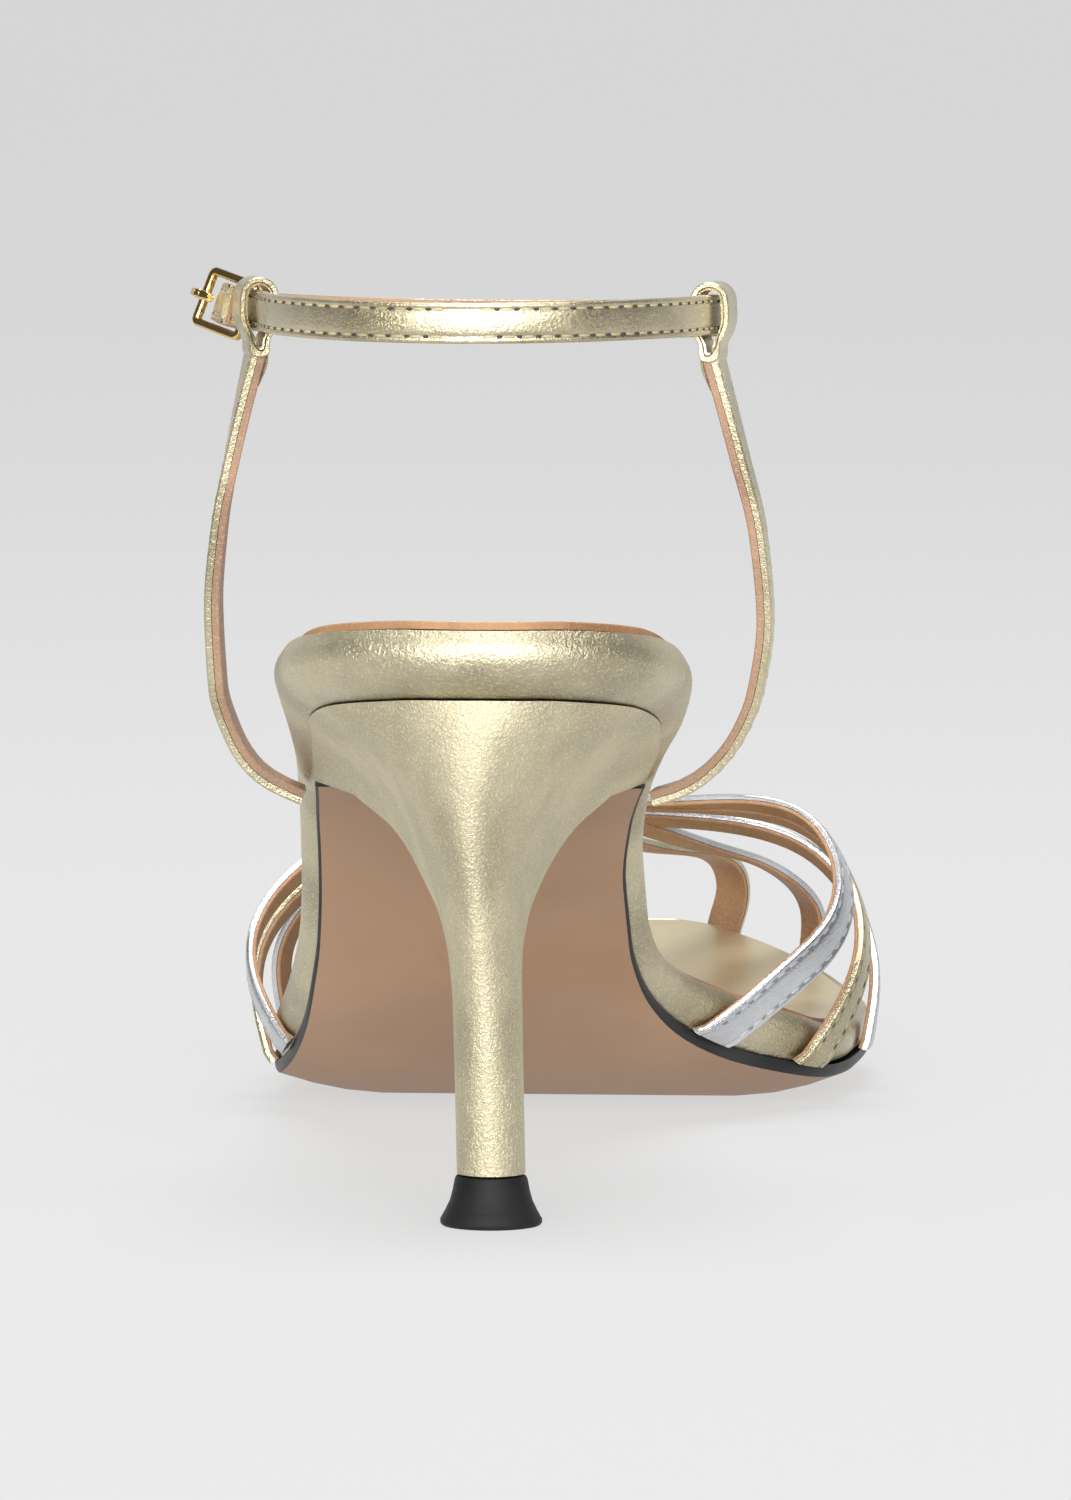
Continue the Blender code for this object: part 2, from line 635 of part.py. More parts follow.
def ribbon(points, sides, width, thickness):
    """A strap along points, its width along each side vector and its thickness away from the path."""
    rings = []
    for i, (point, side) in enumerate(zip(points, sides)):
        ahead = points[min(i + 1, len(points) - 1)] - points[max(i - 1, 0)]
        side = (side - ahead * (side.dot(ahead) / ahead.length_squared)).normalized()
        out = ahead.cross(side).normalized()
        half = side * width / 2
        rings.append([point - half, point + half, point + half + out * thickness, point - half + out * thickness])
    return rings


def band_point(share, offset=0.0):
    """A point of the ankle band's inner face, seen from above, and its outward direction."""
    place = spline(BAND_POINTS, share, closed=True)
    ahead = spline(BAND_POINTS, share + 0.004, closed=True) - spline(BAND_POINTS, share - 0.004, closed=True)
    tangent = Vector((ahead[0] * ANKLE_WIDTH, ahead[1] * ANKLE_DEPTH, 0)).normalized()
    out = Vector((-tangent.y, tangent.x, 0))
    centre = Vector((
        BAND_CENTRE_X + place[0] * ANKLE_WIDTH,
        BAND_BACK_Y + place[1] * ANKLE_DEPTH,
        ANKLE_HEIGHT + place[2] * ANKLE_WIDTH,
    ))
    return centre + out * offset, tangent, out


@functools.lru_cache
def share_at(along, lateral):
    """The band's share where it passes a place along its depth, on one side."""
    shares = np.linspace(0.02, 0.48, 400) if lateral else np.linspace(0.98, 0.52, 400)
    return min(shares, key=lambda share: abs(spline(BAND_POINTS, share, closed=True)[1] - along))


def band_up(share):
    """The band's width direction: upright, but leaning in where the buckle's weight twists the strap."""
    point, tangent, out = band_point(share)
    away = (point - band_point(share_at(BUCKLE_PLACE, True))[0]).length / TWIST_SPREAD
    lean = math.radians(BUCKLE_LEAN_DEG) * math.exp(-(away**2) / 2)
    return Vector((0, 0, math.cos(lean))) - out * math.sin(lean), out * math.cos(lean) + Vector((0, 0, math.sin(lean)))


def band_ring(share, inner, outer, taper=1.0):
    """A section of the band between two depths, counted outwards from its inner face."""
    up, out = band_up(share)
    point = band_point(share)[0] + out * inner
    half = up * taper * ANKLE_STRAP_WIDTH / 2
    depth = out * (outer - inner)
    return [point - half, point + half, point + half + depth, point - half + depth]


@functools.lru_cache
def band_length():
    points = [band_point(share)[0] for share in np.linspace(0, 1, 200)]
    return sum((b - a).length for a, b in zip(points, points[1:]))


BAND_STEPS = 88
FREE_END_STEPS = 18
FREE_END_TOP = 1.85


def make_ankle_strap(material, collection):
    shares = np.arange(BAND_STEPS) / BAND_STEPS
    rings = [band_ring(share, 0.0, ANKLE_STRAP_THICKNESS) for share in shares]
    band = finish("ankle_strap", loft(rings, closed=True), material, collection)
    start = share_at(BUCKLE_PLACE, True) - 0.42 * BUCKLE_LENGTH / band_length()
    rings = []
    for part in np.linspace(0, 1, FREE_END_STEPS + 1):
        share = start + part * FREE_END_LENGTH / band_length()
        taper = min(1.0, math.sqrt(max(0.0, 1 - part) * 5 + 0.06))
        rings.append(band_ring(share, 0.5 * ANKLE_STRAP_THICKNESS, FREE_END_TOP * ANKLE_STRAP_THICKNESS, taper))
    free_end = finish("free_end", loft(rings), material, collection)
    return join(band, [free_end])


def frame_at(share, offset):
    """Place, tangent, up and outward directions of something that sits on the ankle band."""
    centre, tangent, out = band_point(share, offset)
    return centre, tangent, Vector((0, 0, 1)), out


def box_ring(name, centre, across, up, out, inner, bar, material, collection):
    """A closed rectangular ring about an opening of the inner size, its bar square in section."""
    half_up, half_out = inner
    rings = []
    for sign_up, sign_out in ((-1, -1), (1, -1), (1, 1), (-1, 1)):
        corner = centre + up * sign_up * half_up + out * sign_out * half_out
        away = up * sign_up * bar[0] + out * sign_out * bar[0]
        half = across * bar[1] / 2
        rings.append([corner - half, corner + half, corner + away + half, corner + away - half])
    return finish(name, loft(rings, closed=True), material, collection)


def make_buckle(material, collection):
    """The strap passes through the frame: the rear bar lies inside the strap and the front bar outside."""
    share = share_at(BUCKLE_PLACE, True)
    stack = FREE_END_TOP * ANKLE_STRAP_THICKNESS
    up, out = band_up(share)
    point, tangent, level_out = band_point(share)
    centre = point + out * stack / 2
    turn = math.radians(BUCKLE_TURN_DEG)
    along = tangent * math.cos(turn) + out * math.sin(turn)
    across = out * math.cos(turn) - tangent * math.sin(turn)
    half_height = ANKLE_STRAP_WIDTH / 2 + BUCKLE_ROOM
    half_length = BUCKLE_LENGTH / 2 - BUCKLE_BAR
    frame = box_ring(
        "buckle_frame", centre, across, up, along, (half_height, half_length), (BUCKLE_BAR, BUCKLE_BAR),
        material, collection,
    )
    lift = GAP + PRONG_THICKNESS / 2
    start = centre + out * (stack / 2 + lift) - tangent * PRONG_START * BUCKLE_LENGTH
    end = centre + along * (half_length + 0.7 * BUCKLE_BAR) + across * (BUCKLE_BAR / 2 + 1.5 * lift)
    half = up * PRONG_THICKNESS / 2
    depth = up.cross(end - start).normalized() * PRONG_THICKNESS / 2
    rings = []
    for p, size in ((start, 0.8), (start.lerp(end, 0.5), 1.0), (end, 0.7)):
        corners = ((-1, -1), (1, -1), (1, 1), (-1, 1))
        rings.append([p + half * size * i + depth * size * j for i, j in corners])
    prong = finish("buckle_prong", loft(rings), material, collection)
    return [frame, prong]


def stay_root(side):
    """Where a stay comes out from under the footbed, beside the heel's front corner."""
    station = BREAST_STATION + 0.35 * STAY_WIDTH / SOLE_LENGTH
    tuck = SEAT_TUCK * sole_value("tuck", station)
    x = edges(station, tuck)[0 if side == "lateral" else 1]
    return Vector((x, y_of(station), board_bottom(station) - 1.3 * STAY_THICKNESS))


STAY_STEPS = 20
LOOP_TURNS = 8
PINCH_DROP = 0.0026


def loop_outline(grow):
    """The loop's outline round the band: two straight sides, a round top and a pinched foot."""
    half = ANKLE_STRAP_THICKNESS / 2 + LOOP_ROOM
    shoulder = ANKLE_STRAP_WIDTH / 2 - 0.55 * half
    low = -0.86 * ANKLE_STRAP_WIDTH / 2
    points = []
    for turn in np.linspace(0, math.pi, LOOP_TURNS + 1):
        points.append(((half + grow) * math.cos(turn), shoulder + (half + grow) * math.sin(turn)))
    points.append((-half - grow, low))
    foot = low - PINCH_DROP
    points += [(-0.06 * half - grow, foot - grow), (0.06 * half + grow, foot - grow), (half + grow, low)]
    return points


def make_stay(side, material, collection):
    """A stay is one strap folded back on itself: two layers up to the pinch and a loop round the band."""
    sign = -1 if side == "lateral" else 1
    share = share_at(LOOP_PLACE, side == "lateral")
    hold, tangent, up, out = frame_at(share, ANKLE_STRAP_THICKNESS / 2)
    rings = []
    side_way = tangent if tangent.y > 0 else -tangent
    half = Vector((0, 1, 0)).lerp(side_way, 0.8).normalized() * STAY_WIDTH / 2
    for near, far in zip(loop_outline(0.0), loop_outline(STAY_THICKNESS)):
        inner, outer = (hold + out * place[0] + up * place[1] for place in (near, far))
        rings.append([inner - half, inner + half, outer + half, outer - half])
    stay = finish("stay_" + side, loft(rings, closed=True), material, collection, 30.0)
    root = stay_root(side)
    top = hold + up * (loop_outline(0.0)[-2][1] - 0.4 * STAY_THICKNESS)
    start = BAND_CENTRE_X + sign * (STAY[side](1.0) * STAY_SPREAD - STAY_THICKNESS)
    points, sides = [], []
    for height in np.linspace(0, 1, STAY_STEPS):
        x = BAND_CENTRE_X + sign * (STAY[side](height) * STAY_SPREAD - STAY_THICKNESS)
        y = root.y + (top.y - root.y) * (1 - (1 - height) ** 1.5)
        z = root.z + (top.z - root.z) * height
        points.append(Vector((x + (top.x - start) * height**3, y, z)))
        sides.append(Vector((0, 1, 0)).lerp(side_way, 0.8 * height**3))
    points[0].x = root.x + sign * (STAY_THICKNESS + 2 * GAP)
    layers = [
        [corner - (ring[2] - ring[1]) / 2 for corner in ring]
        for ring in ribbon(points, sides, STAY_WIDTH - GAP, 2 * STAY_THICKNESS)
    ]
    return join(stay, [finish("stay_body", loft(layers), material, collection, 30.0)])


def main():
    drop_old_scene()
    materials = make_materials()
    sandal = make_collection("heeled_sandal")
    gold = materials["gold_leather"]
    make_outsole(materials["tan_leather"], sandal)
    make_insole(gold, sandal)
    make_insole_sock(gold, sandal)
    make_heel(gold, sandal)
    make_top_piece(materials["black_rubber"], sandal)
    make_upper(materials, sandal)
    make_stay("lateral", gold, sandal)
    make_stay("medial", gold, sandal)
    make_ankle_strap(gold, sandal)
    make_buckle(materials["polished_gold"], sandal)


main()
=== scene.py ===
import functools
import math

import bmesh
import bpy
import numpy as np
from mathutils import Matrix, Vector


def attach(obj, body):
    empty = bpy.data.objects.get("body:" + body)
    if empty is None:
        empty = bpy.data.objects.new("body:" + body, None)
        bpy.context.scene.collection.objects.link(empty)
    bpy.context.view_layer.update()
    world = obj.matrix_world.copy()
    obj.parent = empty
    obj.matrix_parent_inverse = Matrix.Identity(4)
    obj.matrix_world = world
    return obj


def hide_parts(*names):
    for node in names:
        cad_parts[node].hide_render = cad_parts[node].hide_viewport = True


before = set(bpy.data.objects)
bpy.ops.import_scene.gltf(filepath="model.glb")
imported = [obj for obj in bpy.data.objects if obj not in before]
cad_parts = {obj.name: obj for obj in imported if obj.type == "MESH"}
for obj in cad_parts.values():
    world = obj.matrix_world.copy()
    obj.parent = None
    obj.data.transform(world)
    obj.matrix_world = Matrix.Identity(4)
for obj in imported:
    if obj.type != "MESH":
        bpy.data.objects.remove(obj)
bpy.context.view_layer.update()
print("frame loaded")

gap = 0.0003  # room between pieces that lie against each other


class Curve:
    # A smooth line through a table's values that never swings past them.
    def __init__(self, places, values):
        self.places = np.asarray(places, float)
        self.values = np.asarray(values, float)
        steps = np.diff(self.places)
        rates = np.diff(self.values) / steps
        slopes = np.empty(len(self.places))
        slopes[0], slopes[-1] = rates[0], rates[-1]
        for i in range(1, len(slopes) - 1):
            before, after = rates[i - 1], rates[i]
            if before * after <= 0:
                slopes[i] = 0.0
                continue
            near = 2 * steps[i] + steps[i - 1]
            far = steps[i] + 2 * steps[i - 1]
            slopes[i] = (near + far) / (near / before + far / after)
        self.slopes = slopes

    def __call__(self, place):
        place = min(max(place, self.places[0]), self.places[-1])
        i = min(int(np.searchsorted(self.places, place, side="right")) - 1, len(self.places) - 2)
        step = self.places[i + 1] - self.places[i]
        t = (place - self.places[i]) / step
        return float(
            self.values[i] * (1 + 2 * t) * (1 - t) ** 2
            + self.values[i + 1] * t * t * (3 - 2 * t)
            + step * (self.slopes[i] * t * (1 - t) ** 2 - self.slopes[i + 1] * t * t * (1 - t))
        )


def table(columns, rows, place=float):
    # A curve for each column, over the first one.
    data = list(zip(*rows))
    places = [place(value) for value in data[0]]
    return {name: Curve(places, data[i]) for i, name in enumerate(columns) if i}


def spline(points, share, closed=False):
    # A point at a share of the way along a smooth line through the points.
    points = np.asarray(points, float)
    if closed:
        points = np.vstack([points[-1], points, points[:2]])
    else:
        points = np.vstack([2 * points[0] - points[1], points, 2 * points[-1] - points[-2]])
    spans = np.linalg.norm(np.diff(points[1:-1], axis=0), axis=1)
    marks = np.concatenate([[0.0], np.cumsum(spans)])
    goal = (share % 1.0 if closed else min(max(share, 0.0), 1.0)) * marks[-1]
    i = min(int(np.searchsorted(marks, goal, side="right")) - 1, len(spans) - 1)
    t = (goal - marks[i]) / spans[i]
    before, start, end, after = points[i: i + 4]
    gaps = [max(float(np.linalg.norm(b - a)), 1e-6) for a, b in ((before, start), (start, end), (end, after))]
    leave = (start - before) / gaps[0] - (end - before) / (gaps[0] + gaps[1]) + (end - start) / gaps[1]
    arrive = (end - start) / gaps[1] - (after - start) / (gaps[1] + gaps[2]) + (after - end) / gaps[2]
    leave, arrive = leave * gaps[1], arrive * gaps[1]
    return (
        start * (1 + 2 * t) * (1 - t) ** 2
        + end * t * t * (3 - 2 * t)
        + leave * t * (1 - t) ** 2
        - arrive * t * t * (1 - t)
    )


def loft(whole, rings, closed=False, slots=None, cap=None):
    # One edge loop pulled from ring to ring. Slots gives a material for each segment of the ring.
    bm = bmesh.new()
    count = len(rings[0])
    first = [bm.verts.new(point) for point in rings[0]]
    ring = first
    ringEdges = [bm.edges.new((ring[i], ring[(i + 1) % count])) for i in range(count)]
    for target in rings[1:] + ([rings[0]] if closed else []):
        made = bmesh.ops.extrude_edge_only(bm, edges=ringEdges)
        fresh = {item for item in made["geom"] if isinstance(item, bmesh.types.BMVert)}
        step = []
        for vert, point in zip(ring, target):
            other = next(edge.other_vert(vert) for edge in vert.link_edges if edge.other_vert(vert) in fresh)
            other.co = point
            step.append(other)
        ringEdges = [bm.edges.get((step[i], step[(i + 1) % count])) for i in range(count)]
        for i, edge in enumerate(ringEdges):
            edge.link_faces[0].material_index = slots[i] if slots else 0
        ring = step
    if closed:
        bmesh.ops.remove_doubles(bm, verts=first + ring, dist=1e-7)
    else:
        for end in (first, ring):
            closeEnd(bm, end, slots, cap)
    addInto(whole, bm)


def closeEnd(bm, end, slots, cap):
    # Cap gives how many points a sole section has below and up its wall, so the end keeps the wall's profile.
    patches = [(end, 0)]
    if cap:
        below, flank = cap
        medial = end[below - 1: below + flank]
        lateral = [end[0]] + end[:-flank - 1:-1]
        patches = [(end[:below] + [medial[1], lateral[1]], below)]
        patches += [((lateral[i], medial[i], medial[i + 1], lateral[i + 1]), below) for i in range(1, flank)]
        patches += [(end[below + flank - 1: len(end) - flank + 1], below + flank)]
    for corners, segment in patches:
        for face in bmesh.ops.contextual_create(bm, geom=list(corners))["faces"]:
            face.material_index = slots[segment] if slots else 0


def addInto(whole, bm):
    # Many small meshes build faster apart than in one.
    piece = bpy.data.meshes.new("part")
    bm.to_mesh(piece)
    bm.free()
    whole.from_mesh(piece)
    bpy.data.meshes.remove(piece)


def addPiece(name, bm, materials, nodes=(), sharp=40.0):
    # Nodes are the solids of the frame that this piece takes the place of.
    bmesh.ops.recalc_face_normals(bm, faces=bm.faces[:])
    mesh = bpy.data.meshes.new(name)
    bm.to_mesh(mesh)
    bm.free()
    mesh.shade_smooth()
    mesh.set_sharp_from_angle(angle=math.radians(sharp))
    for material in materials:
        mesh.materials.append(material)
    piece = bpy.data.objects.new(name, mesh)
    bpy.context.scene.collection.objects.link(piece)
    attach(piece, "root")
    if nodes:
        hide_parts(*nodes)


stitch = {
    "thread": (0.00080, 0.00021, 0.00018),  # half sizes along the row, across it and out of the leather
    # Each needle hole is a small dark blob set on the leather: painted shade of the hole.
    "holeShade": (0.00040, 0.00027, 0.00012),
    "margin": 0.0012,  # plain leather before the first stitch
    "place": 0.67,  # share of a strap's half width
    "depth": 0.90,  # share of a strap's thickness
}
tipUp = Matrix.Rotation(math.radians(90), 4, "Y")


def stitchRow(whole, points, outs, pitch, slot=0, holeShade=1):
    # Thread lies in short proud lengths along a line of points, with a small dark blob between them: painted
    # shade of a needle hole.
    bm = bmesh.new()
    lengths = [(b - a).length for a, b in zip(points, points[1:])]
    marks = np.concatenate([[0.0], np.cumsum(lengths)])
    count = max(1, int((marks[-1] - 2 * stitch["margin"]) / pitch))
    spare = (marks[-1] - (count - 1) * pitch) / 2
    for n in range(2 * count - 1):
        size = stitch["holeShade" if n % 2 else "thread"]
        goal = spare + n * pitch / 2
        i = max(1, min(int(np.searchsorted(marks, goal)), len(points) - 1))
        part = (goal - marks[i - 1]) / max(lengths[i - 1], 1e-9)
        place = points[i - 1].lerp(points[i], part)
        along = (points[i] - points[i - 1]).normalized()
        out = outs[i - 1].lerp(outs[i], part)
        out = (out - along * out.dot(along)).normalized()
        across = out.cross(along)
        matrix = Matrix((along * size[0], across * size[1], out * size[2])).transposed().to_4x4()
        matrix.translation = place
        made = bmesh.ops.create_uvsphere(
            bm, u_segments=8, v_segments=4 if n % 2 else 6, radius=1.0, matrix=matrix @ tipUp)
        for face in {face for vert in made["verts"] for face in vert.link_faces}:
            face.material_index = holeShade if n % 2 else slot
    addInto(whole, bm)


def eased(path, passes=14):
    # Evens out small kinks in a strap's path, but keeps both ends where they are.
    rows = np.array([[*centre, *half, *out] for centre, half, out in path])
    for turn in range(passes):
        rows[2:-2] = 0.5 * rows[2:-2] + 0.25 * (rows[1:-3] + rows[3:-1])
    return [(Vector(row[:3]), Vector(row[3:6]), Vector(row[6:]).normalized()) for row in rows]


def layer(path, profile, thickness):
    return [[centre + half * a + out * d * thickness for a, d in profile] for centre, half, out in path]


def edgeRows(bm, path, thickness, pitch, slot=0, holeShade=1):
    # A row of stitches beside each edge of a strap.
    for side in (-1, 1):
        across, deep = side * stitch["place"], stitch["depth"]
        points = [centre + half * across + out * deep * thickness for centre, half, out in path]
        stitchRow(bm, points, [out for centre, half, out in path], pitch, slot, holeShade)


# A strap in section as shares of its half width and thickness: half of its outer leather, from the edge to
# the middle with a groove for the stitches, and the lining below it.
halfProfile = [
    (1.0, 0.40), (1.0, 0.70), (0.965, 0.90), (0.88, 1.0), (0.78, 0.98), (0.70, 0.87), (0.64, 0.87),
    (0.56, 0.97), (0.40, 1.02), (0.2, 1.04),
]
strapProfile = [(-a, d) for a, d in halfProfile] + [(0.0, 1.05)] + halfProfile[::-1]
liningProfile = [(-0.93, 0.0), (-0.975, 0.10), (-0.975, 0.36), (0.975, 0.36), (0.975, 0.10), (0.93, 0.0)]


def addStrap(outer, path, thickness, closed=False, slot=0, lining=1):
    for profile, material in ((strapProfile, slot), (liningProfile, lining)):
        loft(outer, layer(path, profile, thickness), closed, [material] * len(profile))


def newMaterial(name):
    material = bpy.data.materials.new(name)
    material.use_nodes = True
    tree = material.node_tree
    return material, tree, tree.nodes["Principled BSDF"]


def addNode(tree, kind, values=None, **settings):
    made = tree.nodes.new(kind)
    for key, value in settings.items():
        setattr(made, key, value)
    for key, value in (values or {}).items():
        if isinstance(value, bpy.types.NodeSocket):
            tree.links.new(value, made.inputs[key])
        else:
            made.inputs[key].default_value = value
    return made


def mix(tree, factor, first, second):
    made = tree.nodes.new("ShaderNodeMix")
    made.data_type = "RGBA"
    for key, value in ((0, factor), (6, first), (7, second)):
        if isinstance(value, bpy.types.NodeSocket):
            tree.links.new(value, made.inputs[key])
        else:
            made.inputs[key].default_value = (*value, 1.0) if key else value
    return made.outputs[2]


def ramp(tree, value, low, high):
    made = addNode(tree, "ShaderNodeMapRange", {"Value": value, "From Min": low, "From Max": high})
    made.interpolation_type = "SMOOTHSTEP"
    return made.outputs[0]


def maths(tree, operation, first, second):
    made = tree.nodes.new("ShaderNodeMath")
    made.operation = operation
    for key, value in enumerate((first, second)):
        if isinstance(value, bpy.types.NodeSocket):
            tree.links.new(value, made.inputs[key])
        else:
            made.inputs[key].default_value = value
    return made.outputs[0]


def makeGrainGroup():
    # Leather grain: pebbles of one size with finer pores on them, a slow change of tone, and flecks.
    tree = bpy.data.node_groups.new("leatherGrain", "ShaderNodeTree")
    face = tree.interface
    for label, value in (("Pebbles", 1400.0), ("Pores", 5200.0), ("Patches", 60.0)):
        face.new_socket(label, in_out="INPUT", socket_type="NodeSocketFloat").default_value = value
    for label in ("Height", "Tone", "Flecks"):
        face.new_socket(label, in_out="OUTPUT", socket_type="NodeSocketFloat")
    given = tree.nodes.new("NodeGroupInput")
    result = tree.nodes.new("NodeGroupOutput")
    spot = addNode(tree, "ShaderNodeTexCoord").outputs["Object"]
    pebbles = addNode(tree, "ShaderNodeTexVoronoi", {
        "Vector": spot, "Scale": given.outputs["Pebbles"], "Randomness": 0.9}, feature="SMOOTH_F1")
    pores = addNode(tree, "ShaderNodeTexNoise", {
        "Vector": spot, "Scale": given.outputs["Pores"], "Detail": 3.0, "Roughness": 0.6})
    patches = addNode(tree, "ShaderNodeTexNoise", {
        "Vector": spot, "Scale": given.outputs["Patches"], "Detail": 4.0, "Roughness": 0.55})
    height = maths(tree, "ADD", maths(tree, "MULTIPLY", pebbles.outputs["Distance"], 0.5), pores.outputs[0])
    flecks = ramp(tree, pores.outputs[0], 0.52, 0.66)
    for label, value in (("Height", height), ("Tone", patches.outputs[0]), ("Flecks", flecks)):
        tree.links.new(value, result.inputs[label])
    return tree


grain = makeGrainGroup()


def makeFinish(name, dark, light, metallic, roughness, pebbles, bump, coat=0.0, fleck=0.0, patches=60.0):
    # Dark and light are the two tones that the slow patches run between. Flecks catch more light than both.
    material, tree, shader = newMaterial(name)
    group = addNode(tree, "ShaderNodeGroup", node_tree=grain)
    group.inputs["Pebbles"].default_value = pebbles
    group.inputs["Pores"].default_value = pebbles * 2.0
    group.inputs["Patches"].default_value = patches
    colour = mix(tree, ramp(tree, group.outputs["Tone"], 0.35, 0.65), dark, light)
    flecks = maths(tree, "MULTIPLY", group.outputs["Flecks"], fleck)
    colour = mix(tree, flecks, colour, [c * 1.5 for c in light])
    tree.links.new(colour, shader.inputs["Base Color"])
    rough = addNode(tree, "ShaderNodeMapRange", {
        "Value": group.outputs["Tone"], "From Min": 0.3, "From Max": 0.7,
        "To Min": roughness * 0.82, "To Max": roughness * 1.18,
    }).outputs[0]
    tree.links.new(rough, shader.inputs["Roughness"])
    shader.inputs["Metallic"].default_value = metallic
    shader.inputs["Coat Weight"].default_value = coat
    shader.inputs["Coat Roughness"].default_value = 0.25
    dent = addNode(tree, "ShaderNodeBump", {
        "Height": group.outputs["Height"], "Strength": bump, "Distance": 0.0002,
    })
    tree.links.new(dent.outputs[0], shader.inputs["Normal"])
    shader.inputs["Specular IOR Level"].default_value = 0.5 if max(light) > 0.05 else 0.2  # blacks shine less
    return material


finishes = {
    "goldStrap": {
        "dark": (0.40, 0.35, 0.225), "light": (0.62, 0.555, 0.385), "metallic": 0.95, "roughness": 0.28,
        "pebbles": 1700.0, "bump": 0.5, "coat": 0.1, "fleck": 0.4,
    },
    "silverStrap": {
        "dark": (0.50, 0.505, 0.515), "light": (0.68, 0.685, 0.70), "metallic": 0.92, "roughness": 0.28,
        "pebbles": 1800.0, "bump": 0.35, "coat": 0.15, "fleck": 0.2,
    },
    "goldWrap": {
        "dark": (0.42, 0.375, 0.25), "light": (0.62, 0.56, 0.39), "metallic": 0.95, "roughness": 0.38,
        "pebbles": 1500.0, "bump": 0.8, "coat": 0.08, "fleck": 0.5,
    },
    "goldHeel": {
        "dark": (0.50, 0.455, 0.315), "light": (0.62, 0.565, 0.405), "metallic": 0.95, "roughness": 0.63,
        "pebbles": 1800.0, "bump": 0.8, "coat": 0.05, "fleck": 0.6,
    },
    "goldSock": {
        "dark": (0.60, 0.505, 0.31), "light": (0.68, 0.59, 0.385), "metallic": 0.8, "roughness": 0.40,
        "pebbles": 1600.0, "bump": 0.16, "coat": 0.1, "fleck": 0.2, "patches": 25.0,
    },
    "tanLining": {
        "dark": (0.28, 0.145, 0.075), "light": (0.40, 0.23, 0.125), "metallic": 0.0, "roughness": 0.5,
        "pebbles": 1600.0, "bump": 0.6, "fleck": 0.6,
    },
    "tanEdge": {
        "dark": (0.24, 0.12, 0.055), "light": (0.40, 0.22, 0.11), "metallic": 0.0, "roughness": 0.6,
        "pebbles": 1600.0, "bump": 0.5, "fleck": 0.3,
    },
    "tanSole": {
        "dark": (0.30, 0.172, 0.093), "light": (0.365, 0.22, 0.13), "metallic": 0.0, "roughness": 0.5,
        "pebbles": 1800.0, "bump": 0.12, "fleck": 0.06, "patches": 25.0,
    },
    "blackEdge": {
        "dark": (0.012, 0.012, 0.013), "light": (0.025, 0.024, 0.024), "metallic": 0.0, "roughness": 0.42,
        "pebbles": 2600.0, "bump": 0.15, "coat": 0.1,
    },
    "blackRubber": {
        "dark": (0.006, 0.006, 0.0065), "light": (0.012, 0.012, 0.0125), "metallic": 0.0, "roughness": 0.5,
        "pebbles": 3000.0, "bump": 0.4,
    },
    "goldThread": {
        "dark": (0.34, 0.29, 0.17), "light": (0.50, 0.43, 0.27), "metallic": 0.2, "roughness": 0.5,
        "pebbles": 2500.0, "bump": 0.4,
    },
    "silverThread": {
        "dark": (0.30, 0.32, 0.35), "light": (0.44, 0.46, 0.49), "metallic": 0.1, "roughness": 0.5,
        "pebbles": 2500.0, "bump": 0.4,
    },
    # Painted shade of the needle holes: near black between gold stitches, grey between silver ones.
    "needleHoleShade": {
        "dark": (0.03, 0.025, 0.02), "light": (0.06, 0.05, 0.035), "metallic": 0.0, "roughness": 0.8,
        "pebbles": 2500.0, "bump": 0.2,
    },
    "paleHoleShade": {
        "dark": (0.12, 0.125, 0.13), "light": (0.20, 0.205, 0.21), "metallic": 0.0, "roughness": 0.8,
        "pebbles": 2500.0, "bump": 0.2,
    },
    "stayLining": {
        "dark": (0.22, 0.13, 0.08), "light": (0.33, 0.205, 0.13), "metallic": 0.0, "roughness": 0.5,
        "pebbles": 1600.0, "bump": 0.6, "fleck": 0.5,
    },
    "polishedGold": {
        "dark": (0.72, 0.50, 0.19), "light": (0.84, 0.62, 0.28), "metallic": 1.0, "roughness": 0.12,
        "pebbles": 900.0, "bump": 0.03, "coat": 0.1, "patches": 200.0,
    },
}
looks = {name: makeFinish(name, **finish) for name, finish in finishes.items()}
print("materials made")

# Real sizes of the sole. The sections below give how much of each is there at a station, which runs from
# 0 at the back of the seat to 1 at the toe. Lateral and medial are where the two edges lie.
sole = {
    "length": 0.229, "ballWidth": 0.0826, "seatRise": 0.0668, "overhang": 0.016, "board": 0.0087,
    "leather": 0.002, "tuck": 0.004, "welt": 0.0009, "camber": 0.0034, "dish": 0.0009, "rim": 0.0012,
    "edgeSlope": 0.0004, "steps": 110, "wallSteps": 13, "edgeSteps": 6,
}
